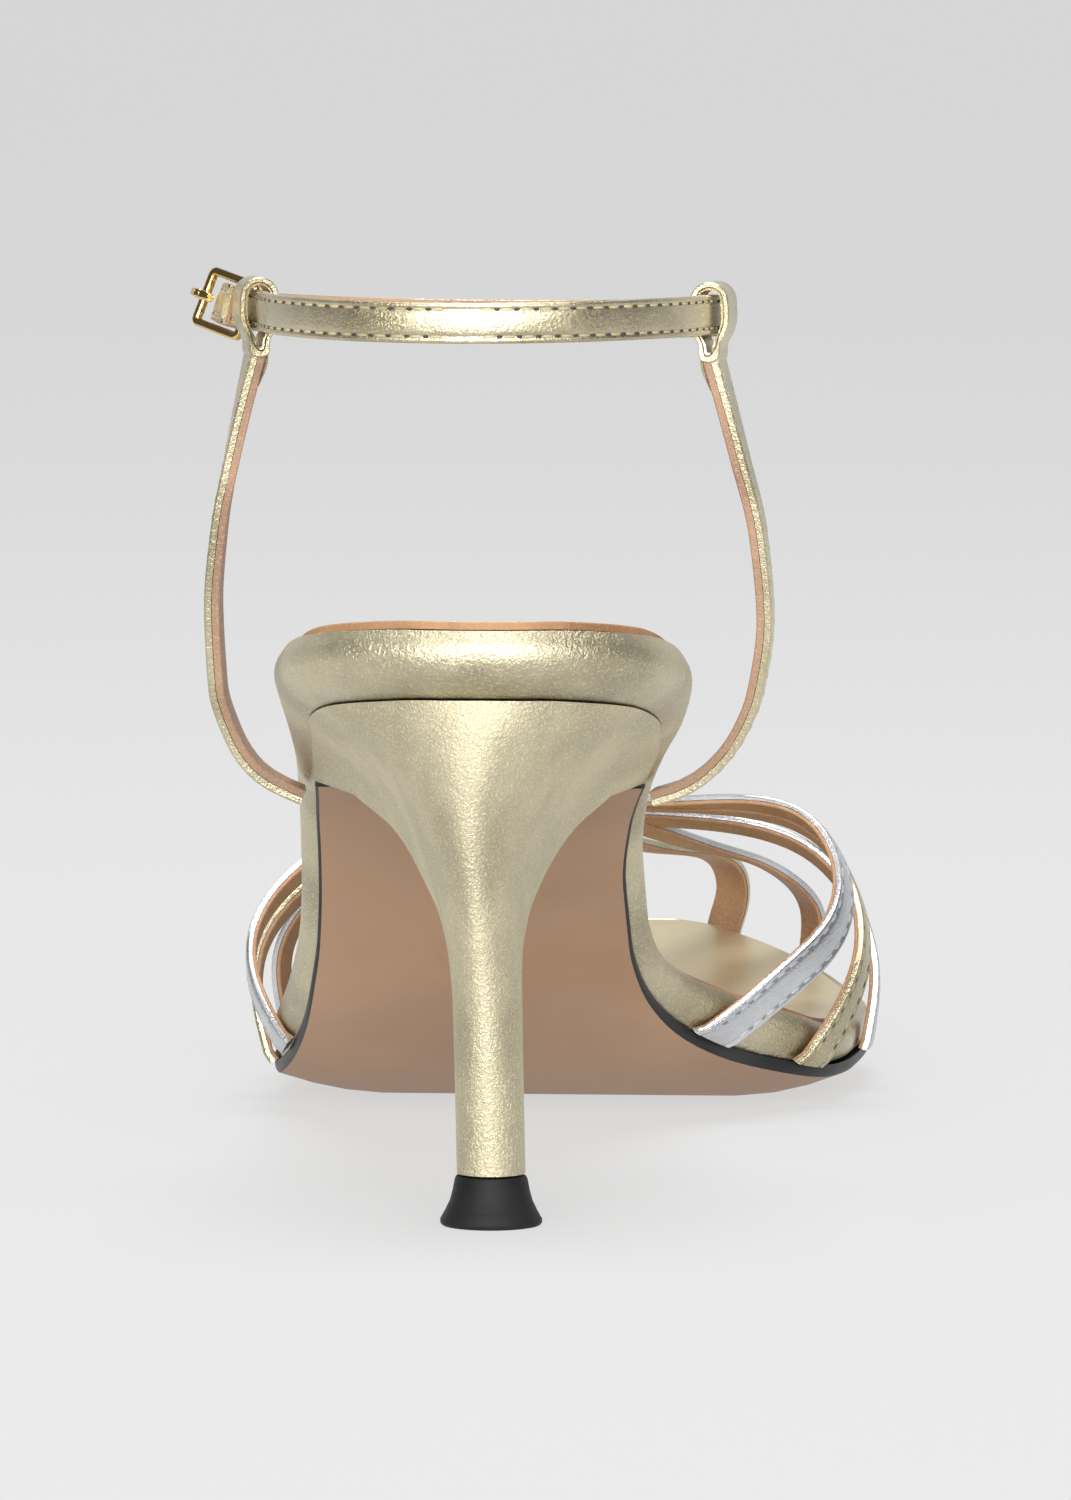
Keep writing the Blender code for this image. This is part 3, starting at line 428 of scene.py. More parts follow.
# The breast is the station where the heel begins, as seen from the toe.
heel = {
    "breast": 0.271, "stemWidth": 0.0086, "stemDepth": 0.0092, "topPiece": 0.0062, "flare": 0.0021,
    "turns": 26, "breastTurns": 9, "steps": 44,
}
soleColumns = ("station", "lateral", "medial", "rise", "camber", "tuck", "board", "leather", "welt", "dish")
soleSections = (
    (0.000, 0.018, 0.018, 1.000, 0.0, 1.00, 0.98, 0.50, 0.0, 0.0),
    (0.009, 0.127, 0.115, 0.998, 0.0, 1.00, 0.99, 0.50, 0.0, 0.1),
    (0.035, 0.236, 0.212, 0.987, 0.0, 1.00, 1.00, 0.50, 0.0, 0.4),
    (0.070, 0.303, 0.266, 0.969, 0.0, 1.00, 1.00, 0.50, 0.0, 0.8),
    (0.135, 0.345, 0.291, 0.922, 0.0, 1.00, 1.00, 0.50, 0.0, 1.0),
    (0.201, 0.351, 0.273, 0.860, 0.0, 0.85, 0.90, 0.50, 0.0, 0.8),
    (0.266, 0.352, 0.230, 0.776, 0.0, 0.62, 0.76, 0.50, 0.0, 0.5),
    (0.336, 0.363, 0.190, 0.662, 0.0, 0.55, 0.62, 0.50, 0.0, 0.3),
    (0.389, 0.374, 0.173, 0.526, 0.1, 0.55, 0.58, 0.50, 0.0, 0.2),
    (0.441, 0.389, 0.172, 0.383, 0.2, 0.52, 0.60, 0.60, 0.0, 0.2),
    (0.476, 0.406, 0.183, 0.286, 0.3, 0.55, 0.68, 0.70, 0.2, 0.2),
    (0.520, 0.431, 0.226, 0.192, 0.2, 0.60, 0.80, 0.85, 0.4, 0.2),
    (0.568, 0.459, 0.306, 0.110, 0.3, 0.55, 0.90, 1.00, 0.6, 0.2),
    (0.616, 0.484, 0.408, 0.048, 0.5, 0.42, 0.92, 1.00, 0.8, 0.2),
    (0.659, 0.496, 0.455, 0.011, 0.85, 0.28, 0.92, 1.00, 1.0, 0.2),
    (0.694, 0.500, 0.474, 0.000, 1.1, 0.16, 0.92, 1.00, 1.0, 0.2),
    (0.764, 0.488, 0.486, 0.000, 1.2, 0.08, 0.91, 1.00, 1.0, 0.2),
    (0.812, 0.455, 0.486, 0.011, 1.1, 0.08, 0.88, 1.00, 1.0, 0.2),
    (0.856, 0.402, 0.456, 0.032, 0.9, 0.08, 0.84, 1.00, 1.0, 0.2),
    (0.900, 0.325, 0.408, 0.060, 0.7, 0.08, 0.80, 1.00, 1.0, 0.2),
    (0.943, 0.216, 0.338, 0.090, 0.4, 0.08, 0.76, 1.00, 1.0, 0.1),
    (0.974, 0.103, 0.268, 0.114, 0.2, 0.08, 0.72, 1.00, 1.0, 0.1),
    (0.991, 0.016, 0.206, 0.128, 0.1, 0.08, 0.70, 1.00, 1.0, 0.0),
    (1.000, -0.070, 0.126, 0.136, 0.0, 0.08, 0.70, 1.00, 1.0, 0.0),
)


def turnOf(station):
    return math.acos(1 - 2 * min(max(station, 0.0), 1.0))


soleTable = table(soleColumns, soleSections, turnOf)


def soleValue(name, station):
    return soleTable[name](turnOf(station))


def yOf(station):
    return station * sole["length"] - sole["overhang"]


def edges(station, inset=0.0):
    lateral = -soleValue("lateral", station) * sole["ballWidth"]
    medial = soleValue("medial", station) * sole["ballWidth"]
    half = (medial - lateral) / 2
    drawn = inset * min(1.0, half / (0.2 * sole["ballWidth"]))
    return lateral + drawn, medial - drawn


def boardBottom(station, across=0.0):
    lift = max(0.0, abs(across) - 0.6) / 0.4
    level = sole["leather"] + soleValue("rise", station) * (sole["seatRise"] - sole["leather"])
    return level + sole["camber"] * soleValue("camber", station) * lift**2


def boardTop(station, across=0.0):
    dish = sole["dish"] * soleValue("dish", station) * (1 - across**2)
    return boardBottom(station) + sole["board"] * soleValue("board", station) - dish


def stations(first, last, count):
    turns = np.linspace(turnOf(first), turnOf(last), count)
    return [(1 - math.cos(turn)) / 2 for turn in turns]


def placeOnSole(station, across, inset, height):
    lateral, medial = edges(station, inset)
    x = lateral + (medial - lateral) * (across + 1) / 2
    y = yOf(station) + inset * (1 - 2 * station)
    return Vector((x, y, height))


def sideWall(tuck):
    # The footbed's wall from its tucked foot to its widest line: inset and share of the height.
    return ((tuck, 0.0), (0.42 * tuck, 0.22), (0.0, 0.55))


def soleRing(station, wall, bottom, top, acrossBottom, acrossTop):
    # One section of a sole piece: along its underside, up one wall, back over its top and down the other.
    points = [placeOnSole(station, e, wall[0][0], bottom(station, e)) for e in acrossBottom]
    for side, steps in ((1, wall[1:-1]), (-1, wall[-2:0:-1])):
        for inset, share in steps:
            low, high = bottom(station, side), top(station, side)
            points.append(placeOnSole(station, side, inset, low + (high - low) * share))
        if side == 1:
            points += [placeOnSole(station, e, wall[-1][0], top(station, e)) for e in acrossTop]
    return points


# Foot is the share of a toe strap over which its end turns to lie along the sole's edge.
strap = {"width": 0.0055, "thickness": 0.0014, "instep": 0.031, "foot": 0.07, "steps": 110, "pitch": 0.0025}
# The last that the straps lie on: places across in ball widths, heights in instep heights above the rim.
lastColumns = (
    "station", "sideLateral", "sideHeightLateral", "shoulderLateral", "shoulderHeightLateral",
    "crown", "crownHeight", "shoulderMedial", "shoulderHeightMedial", "sideMedial", "sideHeightMedial",
)
lastSections = (
    (0.500, -0.480, 0.16, -0.390, 0.70, 0.090, 1.10, 0.225, 0.80, 0.232, 0.10),
    (0.540, -0.490, 0.20, -0.408, 0.71, 0.090, 1.06, 0.270, 0.80, 0.280, 0.12),
    (0.576, -0.503, 0.25, -0.425, 0.72, 0.090, 1.03, 0.350, 0.80, 0.356, 0.22),
    (0.603, -0.512, 0.29, -0.436, 0.71, 0.100, 1.01, 0.396, 0.85, 0.425, 0.38),
    (0.638, -0.518, 0.31, -0.442, 0.70, 0.110, 0.98, 0.402, 0.87, 0.472, 0.42),
    (0.670, -0.519, 0.30, -0.434, 0.67, 0.115, 0.95, 0.412, 0.82, 0.492, 0.33),
    (0.715, -0.517, 0.27, -0.416, 0.61, 0.120, 0.91, 0.420, 0.72, 0.500, 0.20),
    (0.790, -0.482, 0.22, -0.370, 0.54, 0.120, 0.75, 0.384, 0.57, 0.494, 0.20),
    (0.878, -0.385, 0.22, -0.275, 0.46, 0.110, 0.57, 0.325, 0.47, 0.440, 0.20),
    (0.956, -0.184, 0.17, -0.105, 0.34, 0.100, 0.41, 0.240, 0.36, 0.324, 0.17),
    (0.996, -0.016, 0.11, 0.010, 0.22, 0.080, 0.26, 0.152, 0.24, 0.190, 0.11),
)
lastTable = table(lastColumns, lastSections)
# A route's points are the share of the way around the last, from the outer side, and the station there.
# Lift is how far a strap rides up where it crosses others, in thicknesses.
toeStraps = {
    "silverBack": {"lift": 0.92, "route": (
        (0.0, 0.773), (0.27, 0.737), (0.57, 0.700), (0.66, 0.672), (0.745, 0.651), (0.82, 0.632),
        (0.87, 0.611), (0.92, 0.583), (1.0, 0.550),
    )},
    "goldMiddle": {"lift": 0.72, "route": (
        (0.0, 0.825), (0.27, 0.776), (0.55, 0.718), (0.70, 0.683), (0.80, 0.668), (0.88, 0.656),
        (0.94, 0.640), (1.0, 0.621),
    )},
    "silverFront": {"lift": 0.52, "route": (
        (0.0, 0.886), (0.27, 0.824), (0.55, 0.754), (0.75, 0.738), (0.90, 0.736), (1.0, 0.730),
    )},
    "silverAcross": {"lift": 0.2, "route": (
        (0.0, 0.571), (0.06, 0.592), (0.12, 0.620), (0.18, 0.650), (0.27, 0.684), (0.46, 0.730),
        (0.59, 0.776), (0.66, 0.836), (0.73, 0.886), (0.84, 0.926), (1.0, 0.934),
    )},
    "goldAcross": {"lift": 0.0, "route": (
        (0.0, 0.648), (0.08, 0.662), (0.25, 0.718), (0.43, 0.766), (0.53, 0.820), (0.59, 0.890),
        (0.66, 0.950), (0.80, 0.988), (1.0, 0.993),
    )},
}


@functools.cache
def lastSection(station):
    value = {name: curve(station) for name, curve in lastTable.items()}
    lateral, medial = edges(station)
    rim = boardTop(station, 1.0)
    behind, ahead = edges(station - 0.01), edges(station + 0.01)
    slants = [(b - a) / (0.02 * sole["length"]) for a, b in zip(behind, ahead)]
    roomLateral, roomMedial = ((gap + 0.2 * strap["thickness"]) * math.sqrt(1 + slant**2) for slant in slants)
    tread = boardBottom(station, 1.0) - gap + 0.25 * strap["thickness"]

    def at(spread, height):
        return (value[spread] * sole["ballWidth"], rim + value[height] * strap["instep"])

    wall = sideWall(sole["tuck"] * soleValue("tuck", station))
    return np.array([
        *((lateral - roomLateral + inset, tread + (rim - tread) * share) for inset, share in wall),
        at("sideLateral", "sideHeightLateral"),
        at("shoulderLateral", "shoulderHeightLateral"),
        at("crown", "crownHeight"),
        at("shoulderMedial", "shoulderHeightMedial"),
        at("sideMedial", "sideHeightMedial"),
        *((medial + roomMedial - inset, tread + (rim - tread) * share) for inset, share in wall[::-1]),
    ])


def lastPoint(station, across, lift=0.0):
    # A point on the last, or at a height of lift above it.
    def raw(stationAt, acrossAt):
        x, z = spline(lastSection(stationAt), acrossAt)
        return Vector((x, yOf(stationAt), z))

    step = 0.004
    point = raw(station, across)
    if not lift:
        return point
    along = raw(station + step, across) - raw(station - step, across)
    turnWay = raw(station, min(across + step, 1.0)) - raw(station, max(across - step, 0.0))
    return point + turnWay.cross(along).normalized() * lift


def strapPath(lift, route):
    # Middle line, half width and outward direction of a toe strap at each step.
    def middle(share):
        around, station = spline(route, share)
        return station, min(max(around, 0.0), 1.0)

    path = []
    for share in np.linspace(0, 1, strap["steps"]):
        station, around = middle(share)
        centre = lastPoint(station, around)
        ahead = lastPoint(*middle(min(share + 0.01, 1.0))) - lastPoint(*middle(max(share - 0.01, 0.0)))
        normal = (lastPoint(station, around, 1.0) - centre).normalized()
        side = normal.cross(ahead).normalized()
        normal = ahead.cross(side).normalized()
        along = (lastPoint(station + 0.005, around) - lastPoint(station - 0.005, around)).normalized()
        square = min(1.0, min(share, 1.0 - share) / strap["foot"])
        half = strap["width"] / 2 * (side * square + along / side.dot(along) * (1.0 - square))
        inner = lift * strap["thickness"] * math.sin(math.pi * share) ** 0.8
        path.append((centre + normal * inner, half, normal))
    return eased(path)


upper = bmesh.new()
upperThread = bmesh.new()
for name, row in toeStraps.items():
    path = strapPath(**row)
    metal = 0 if "gold" in name else 1
    addStrap(upper, path, strap["thickness"], slot=metal, lining=2)
    edgeRows(upperThread, path, strap["thickness"], strap["pitch"], metal, 2 + metal)
strapLooks = [looks["goldStrap"], looks["silverStrap"], looks["tanLining"]]
threadLooks = [looks["goldThread"], looks["silverThread"], looks["needleHoleShade"], looks["paleHoleShade"]]
addPiece("toeStraps", upper, strapLooks, ["upper"])
addPiece("toeStrapStitches", upperThread, threadLooks)
print("toe straps made")


def finerWall(wall, steps):
    return [tuple(spline(wall, share)) for share in np.linspace(0, 1, steps)]


def soleLoft(name, rings, slots, materials, node, cap, sharp=40.0):
    bm = bmesh.new()
    loft(bm, rings, slots=slots, cap=cap)
    addPiece(name, bm, materials, [node], sharp)


acrossLow = list(np.linspace(-1, 1, 17))
acrossHigh = list(np.linspace(1, -1, 13))
rings = []
for station in stations(0.0, 1.0, sole["steps"]):
    wall = sideWall(sole["tuck"] * soleValue("tuck", station))
    wall += ((0.2 * sole["rim"], 0.84), (sole["rim"], 1.0))
    wall = finerWall(wall, sole["wallSteps"])
    rings.append(soleRing(station, wall, boardBottom, boardTop, acrossLow, acrossHigh))
cap = (len(acrossLow), sole["wallSteps"] - 2)
soleLoft("footbed", rings, None, [looks["goldWrap"]], "insole", cap)

# The sock lining lies on the footbed, set in from its rim, with a cut tan edge.
sock = {"thickness": 0.001, "inset": 0.0028, "steps": 90}


def sockBottom(station, across):
    return boardTop(station, across) + 0.1 * gap


def sockTop(station, across):
    return sockBottom(station, across) + sock["thickness"]


rings = []
sockWall = [(0.0, 0.0), (0.0, 0.35), (0.0, 0.8), (0.00012, 0.94), (0.0003, 1.0)]
for station in stations(0.0, 1.0, sock["steps"]):
    wall = [(sock["inset"] + inset, share) for inset, share in sockWall]
    rings.append(soleRing(station, wall, sockBottom, sockTop, acrossHigh[::-1], acrossHigh))
across, flank = len(acrossHigh) - 1, len(sockWall) - 2
slots = [1] * (across + flank) + [0] * (across + 2) + [1] * flank
cap = (len(acrossHigh), flank)
sockLooks = [looks["goldSock"], looks["tanEdge"]]
soleLoft("sockLining", rings, slots, sockLooks, "insole_sock", cap)


def outsoleInset(station):
    return sole["tuck"] * soleValue("tuck", station) - sole["welt"] * soleValue("welt", station)


def leatherTop(station, across):
    return boardBottom(station, across) - gap


def leatherBottom(station, across):
    return boardBottom(station, across) - sole["leather"] * soleValue("leather", station)


rings = []
for station in stations(heel["breast"] + gap / sole["length"], 1.0, sole["steps"]):
    inset = outsoleInset(station)
    slope = sole["edgeSlope"]
    wall = ((inset + slope, 0.0), (inset + 0.1 * slope, 0.3), (inset, 0.6), (inset, 1.0))
    wall = finerWall(wall, sole["edgeSteps"])
    rings.append(soleRing(station, wall, leatherBottom, leatherTop, acrossLow, acrossLow[::-1]))
across = len(acrossLow) - 1
slots = [0] * across + [1] * (len(rings[0]) - across)
cap = (len(acrossLow), sole["edgeSteps"] - 2)
soleLooks = [looks["tanSole"], looks["blackEdge"]]
soleLoft("soleLeather", rings, slots, soleLooks, "outsole", cap, 30.0)
print("sole, footbed and sock made")

# Sections of the heel, from the seat at place 0 to the wear piece at 1. Drops are shares of the way down.
heelColumns = ("place", "dropFront", "dropBack", "spread", "shift", "front", "back", "bulge", "seatShape")
heelSections = (
    (0.00, 0.024, 0.060, 0.715, 0.82, 0.826, -0.264, -0.030, 0.90),
    (0.17, 0.107, 0.145, 0.407, 0.62, 0.600, -0.257, -0.020, 0.60),
    (0.34, 0.215, 0.265, 0.199, 0.48, 0.385, -0.230, 0.030, 0.25),
    (0.50, 0.313, 0.390, 0.073, 0.32, 0.210, -0.190, 0.075, 0.08),
    (0.66, 0.411, 0.508, 0.020, 0.20, 0.085, -0.156, 0.090, 0.00),
    (0.82, 0.531, 0.625, 0.004, 0.12, 0.043, -0.130, 0.090, 0.00),
    (1.00, 0.750, 0.800, 0.000, 0.06, 0.020, -0.112, 0.090, 0.00),
)
heelTable = table(heelColumns, heelSections)


def breastPoints(ring, bulge):
    first, last = ring[-1], ring[0]
    points = []
    for share in np.linspace(0, 1, heel["breastTurns"] + 2)[1:-1]:
        point = first.lerp(last, share)
        point.y += bulge * math.sqrt(1 - (2 * share - 1) ** 2)
        points.append(point)
    return points


def seatRing():
    points = []
    for turn in np.linspace(-math.pi / 2, math.pi / 2, 2 * heel["turns"] + 1):
        station = heel["breast"] * (1 - math.cos(turn))
        side = 0.0 if abs(turn) <= 1e-6 else math.copysign(1.0, turn)
        tuck = sole["tuck"] * soleValue("tuck", station)
        points.append(placeOnSole(station, side, tuck, boardBottom(station) - gap))
    return points


def heelRing(seat, place):
    values = {name: curve(place) for name, curve in heelTable.items()}
    breastLateral, breastMedial = seat[0], seat[-1]
    breastY = breastLateral.y
    half = (breastMedial.x - breastLateral.x) / 2
    offset = (breastMedial.x + breastLateral.x) / 2
    width = heel["stemWidth"] / 2 + (half - heel["stemWidth"] / 2) * values["spread"]
    centreX = offset * values["shift"]
    frontY, backY = breastY * values["front"], breastY * values["back"]
    seatBack = seat[len(seat) // 2]
    ring = []
    for i, turn in enumerate(np.linspace(-math.pi / 2, math.pi / 2, 2 * heel["turns"] + 1)):
        shape = (seat[i].x - offset) / half
        swing = shape * values["seatShape"] + math.sin(turn) * (1 - values["seatShape"])
        deep = math.cos(turn)
        x = centreX + width * swing
        y = frontY + (backY - frontY) * deep
        top = seat[i].z
        along = (breastY - seat[i].y) / (breastY - seatBack.y)
        drop = values["dropFront"] + (values["dropBack"] - values["dropFront"]) * along
        ring.append(Vector((x, y, top + (heel["topPiece"] + gap - top) * drop)))
    return ring + breastPoints(ring, values["bulge"] * breastY)


def stemRing(height, grow):
    halfWidth, halfDepth = heel["stemWidth"] / 2 + grow, heel["stemDepth"] / 2 + grow
    ring = []
    for turn in np.linspace(-math.pi / 2, math.pi / 2, 2 * heel["turns"] + 1):
        ring.append(Vector((halfWidth * math.sin(turn), -halfDepth * math.cos(turn), height)))
    return ring + breastPoints(ring, 0.82 * halfDepth)


seat = seatRing()
rings = [seat + breastPoints(seat, 0.0)]
rings += [heelRing(seat, place) for place in np.linspace(0, 1, heel["steps"])]
rings.append(stemRing(heel["topPiece"] + gap, 0.0))
bm = bmesh.new()
loft(bm, rings)
addPiece("heelCover", bm, [looks["goldHeel"]], ["heel"], 50.0)

# The wear piece from its top to the ground: shares of its height and of its flare.
wearRows = (
    (1.0, 0.02), (0.94, 0.12), (0.7, 0.26), (0.5, 0.42), (0.3, 0.70), (0.12, 1.0), (0.04, 0.98), (0.0, 0.86),
)
bm = bmesh.new()
loft(bm, [stemRing(height * heel["topPiece"], flare * heel["flare"]) for height, flare in wearRows])
addPiece("wearPiece", bm, [looks["blackRubber"]], ["heel_top_piece"], 50.0)
print("heel made")

# The ankle band. FreeTop is how thick the band and its free end are together, in thicknesses.
ankle = {
    "height": 0.1125, "strapWidth": 0.0051, "thickness": 0.0014, "depth": 0.074, "width": 0.0617,
    "freeEnd": 0.036, "freeTop": 1.85, "freeLift": 0.9, "freeThick": 0.95, "freeSteps": 60,
    "centreX": -0.0037, "backY": 0.003, "steps": 220, "pitch": 0.0025,
}
# The buckle. Place is a share of the band's depth, lean and turn are in degrees.
buckle = {
    "place": 0.595, "length": 0.0098, "bar": 0.0011, "room": 0.0004, "prong": 0.0013, "prongStart": 0.12,
    "lean": 21.0, "turn": 36.0, "twist": 0.0045, "corner": 0.0007,
}
# The band's oval from above in shares of its width and depth, and its rise and fall in shares of its width.
bandPoints = (
    (0.000, 0.000, 0.000), (-0.225, 0.058, 0.002), (-0.385, 0.215, 0.006), (-0.463, 0.440, 0.008),
    (-0.540, 0.620, 0.004), (-0.470, 0.810, -0.015), (-0.270, 0.950, -0.030), (0.000, 1.000, -0.036),
    (0.240, 0.945, -0.032), (0.420, 0.800, -0.022), (0.476, 0.600, -0.008), (0.463, 0.430, 0.000),
    (0.375, 0.205, 0.002), (0.215, 0.055, 0.001),
)


def bandPoint(share, offset=0.0):
    # A point of the band's middle line, with the ways along it and out of it.
    place = spline(bandPoints, share, closed=True)
    ahead = spline(bandPoints, share + 0.004, closed=True) - spline(bandPoints, share - 0.004, closed=True)
    tangent = Vector((ahead[0] * ankle["width"], ahead[1] * ankle["depth"], 0)).normalized()
    out = Vector((-tangent.y, tangent.x, 0))
    centre = Vector((
        ankle["centreX"] + place[0] * ankle["width"],
        ankle["backY"] + place[1] * ankle["depth"],
        ankle["height"] + place[2] * ankle["width"],
    ))
    return centre + out * offset, tangent, out


@functools.cache
def shareAt(along, lateral):
    # The share of the way around the band that lies at a share of its depth.
    shares = np.linspace(0.02, 0.48, 400) if lateral else np.linspace(0.98, 0.52, 400)
    return min(shares, key=lambda share: abs(spline(bandPoints, share, closed=True)[1] - along))


def bandUp(share):
    # The band leans out under the buckle and stands upright away from it.
    point, tangent, out = bandPoint(share)
    away = (point - bandPoint(shareAt(buckle["place"], True))[0]).length / buckle["twist"]
    lean = math.radians(buckle["lean"]) * math.exp(-(away**2) / 2)
    up = Vector((0, 0, math.cos(lean))) - out * math.sin(lean)
    return up, out * math.cos(lean) + Vector((0, 0, math.sin(lean)))


@functools.cache
def bandLength():
    points = [bandPoint(share)[0] for share in np.linspace(0, 1, 200)]
    return sum((b - a).length for a, b in zip(points, points[1:]))


band = []
for share in np.arange(ankle["steps"]) / ankle["steps"]:
    up, out = bandUp(share)
    band.append((bandPoint(share)[0], up * ankle["strapWidth"] / 2, out))
start = shareAt(buckle["place"], True) - 0.42 * buckle["length"] / bandLength()
free = []
for part in np.linspace(0, 1, ankle["freeSteps"]):
    share = start + part * ankle["freeEnd"] / bandLength()
    taper = min(1.0, math.sqrt(max(0.0, 1 - part) * 5 + 0.06))
    up, out = bandUp(share)
    place = bandPoint(share)[0] + out * ankle["freeLift"] * ankle["thickness"]
    free.append((place, up * taper * ankle["strapWidth"] / 2, out))
bm = bmesh.new()
addStrap(bm, band, ankle["thickness"], closed=True)
addStrap(bm, free, ankle["freeThick"] * ankle["thickness"])
addPiece("ankleBand", bm, [looks["goldStrap"], looks["tanLining"]], ["ankle_strap"])
bm = bmesh.new()
edgeRows(bm, band + band[:1], ankle["thickness"], ankle["pitch"])
edgeRows(bm, free[:-4], ankle["freeThick"] * ankle["thickness"], ankle["pitch"])
addPiece("ankleStitches", bm, [looks["goldThread"], looks["needleHoleShade"]])
print("ankle band made")

# The stays, which rise from the seat on both sides and fold into a loop around the band.
stay = {
    "width": 0.0064, "thickness": 0.001, "spread": 0.0372, "room": 0.0008, "pinch": 0.0026, "turns": 20,
    "place": 0.440, "steps": 60, "loopSteps": 72, "stitchPlace": 0.68,
    "foldDepths": (-1.12, -1.32, -1.48, -1.5, -1.3),  # inner face of the folded end, from its tip up
}
# How far each stay stands out from the band's centre, at shares of its height.
stayColumns = ("height", "lateral", "medial")
staySections = (
    (0.000, 0.660, 0.585),
    (0.020, 0.760, 0.690),
    (0.070, 0.862, 0.800),
    (0.140, 0.925, 0.885),
    (0.250, 0.972, 0.955),
    (0.420, 0.980, 0.992),
    (0.600, 0.956, 0.975),
    (0.780, 0.905, 0.920),
    (1.000, 0.835, 0.850),
)
stayTable = table(stayColumns, staySections)


def stayRoot(side):
    station = heel["breast"] + 0.35 * stay["width"] / sole["length"]
    tuck = sole["tuck"] * soleValue("tuck", station)
    x = edges(station, tuck)[0 if side == "lateral" else 1]
    return Vector((x, yOf(station), boardBottom(station) - 1.3 * stay["thickness"]))


def loopOutline(grow):
    # The loop seen along the band: round over its top and pinched together below it.
    half = ankle["thickness"] / 2 + stay["room"]
    shoulder = ankle["strapWidth"] / 2 - 0.55 * half
    low = -0.86 * ankle["strapWidth"] / 2
    points = []
    for turn in np.linspace(0, math.pi, stay["turns"] + 1):
        points.append(((half + grow) * math.cos(turn), shoulder + (half + grow) * math.sin(turn)))
    foot = low - stay["pinch"]
    left = [
        (-0.98 * half - grow, 0.6 * low), (-0.74 * half - grow, 1.1 * low),
        (-0.3 * half - grow, foot + 0.0011), (-0.06 * half - grow, foot - grow),
    ]
    points += left + [(-x, z) for x, z in left[::-1]]
    return points


def ribbonPath(points, sides, width):
    # Each point with half the ribbon's width, square to its way, and the way out of its face.
    path = []
    for i, (point, side) in enumerate(zip(points, sides)):
        ahead = points[min(i + 1, len(points) - 1)] - points[max(i - 1, 0)]
        side = (side - ahead * (side.dot(ahead) / ahead.length_squared)).normalized()
        path.append((point, side * width / 2, ahead.cross(side).normalized()))
    return path


def makeStay(side):
    sign = -1 if side == "lateral" else 1
    share = shareAt(stay["place"], side == "lateral")
    hold, tangent, out = bandPoint(share, ankle["thickness"] / 2)
    up = Vector((0, 0, 1))
    sideWay = tangent if tangent.y > 0 else -tangent
    half = Vector((0, 1, 0)).lerp(sideWay, 0.8).normalized() * stay["width"] / 2
    thickness = stay["thickness"]
    bm = bmesh.new()
    inner, outer = loopOutline(0.0), loopOutline(thickness)
    foot = min(z for x, z in inner)
    shares = np.arange(stay["loopSteps"]) / stay["loopSteps"]
    inner, outer = ([spline(line, share, closed=True) for share in shares] for line in (inner, outer))
    for depths in ((0.0, 0.38), (0.42, 1.0)):
        rings = []
        for near, far in zip(inner, outer):
            near = hold + out * near[0] + up * near[1]
            far = hold + out * far[0] + up * far[1]
            low, high = near.lerp(far, depths[0]), near.lerp(far, depths[1])
            soft = near.lerp(far, depths[1] - 0.14)
            rings.append([
                low - half * 0.98, low + half * 0.98, soft + half, high + half * 0.94, high - half * 0.94,
                soft - half,
            ])
        loft(bm, rings, closed=True)
    root = stayRoot(side)
    top = hold + up * (foot - 0.4 * thickness)
    start = ankle["centreX"] + sign * (stayTable[side](1.0) * stay["spread"] - thickness)
    points, sides = [], []
    for height in np.linspace(0, 1, stay["steps"]):
        x = ankle["centreX"] + sign * (stayTable[side](height) * stay["spread"] - thickness)
        y = root.y + (top.y - root.y) * (1 - (1 - height) ** 1.5)
        z = root.z + (top.z - root.z) * height
        points.append(Vector((x + (top.x - start) * height**3, y, z)))
        sides.append(Vector((0, 1, 0)).lerp(sideWay, 0.8 * height**3))
    points[0].x = root.x + sign * (thickness + 2 * gap)
    path = ribbonPath(points, sides, stay["width"] - gap)
    # The body's thickness is centred on its path, so its layers run from minus one to one thickness.
    outward = 1 if path[len(path) // 2][2].x * sign > 0 else -1
    layers = {
        0: [(-1.0, 0.05), (-1.0, 0.78), (-0.94, 1.0), (0.94, 1.0), (1.0, 0.78), (1.0, 0.05)],
        1: [(-0.94, -1.0), (-0.98, -0.85), (-0.98, -0.02), (0.98, -0.02), (0.98, -0.85), (0.94, -1.0)],
    }
    for slot, profile in layers.items():
        rings = [[c + h * a + o * d * thickness * outward for a, d in profile] for c, h, o in path]
        loft(bm, rings, slots=[slot] * len(profile))
    # The folded end comes back down inside the stay and is skived thin.
    rings = []
    for (c, h, o), deep in zip(path[-len(stay["foldDepths"]):], stay["foldDepths"]):
        edge = 0.4 * deep - 0.6
        end = ((-0.9, -1.0), (0.9, -1.0), (0.96, edge), (0.86, deep), (-0.86, deep), (-0.96, edge))
        rings.append([c + h * a + o * d * thickness * outward for a, d in end])
    loft(bm, rings)
    materials = [looks["goldStrap"], looks["stayLining"]]
    addPiece("stay" + side.capitalize(), bm, materials, ["stay_" + side], 35.0)
    bm = bmesh.new()
    for place in (-stay["stitchPlace"], stay["stitchPlace"]):
        spots = [c + h * place + o * thickness * outward * stitch["depth"] for c, h, o in path[3:]]
        stitchRow(bm, spots, [o * outward for c, h, o in path[3:]], strap["pitch"])
    materials = [looks["goldThread"], looks["needleHoleShade"]]
    addPiece("stayStitches" + side.capitalize(), bm, materials)


makeStay("lateral")
makeStay("medial")
print("stays made")


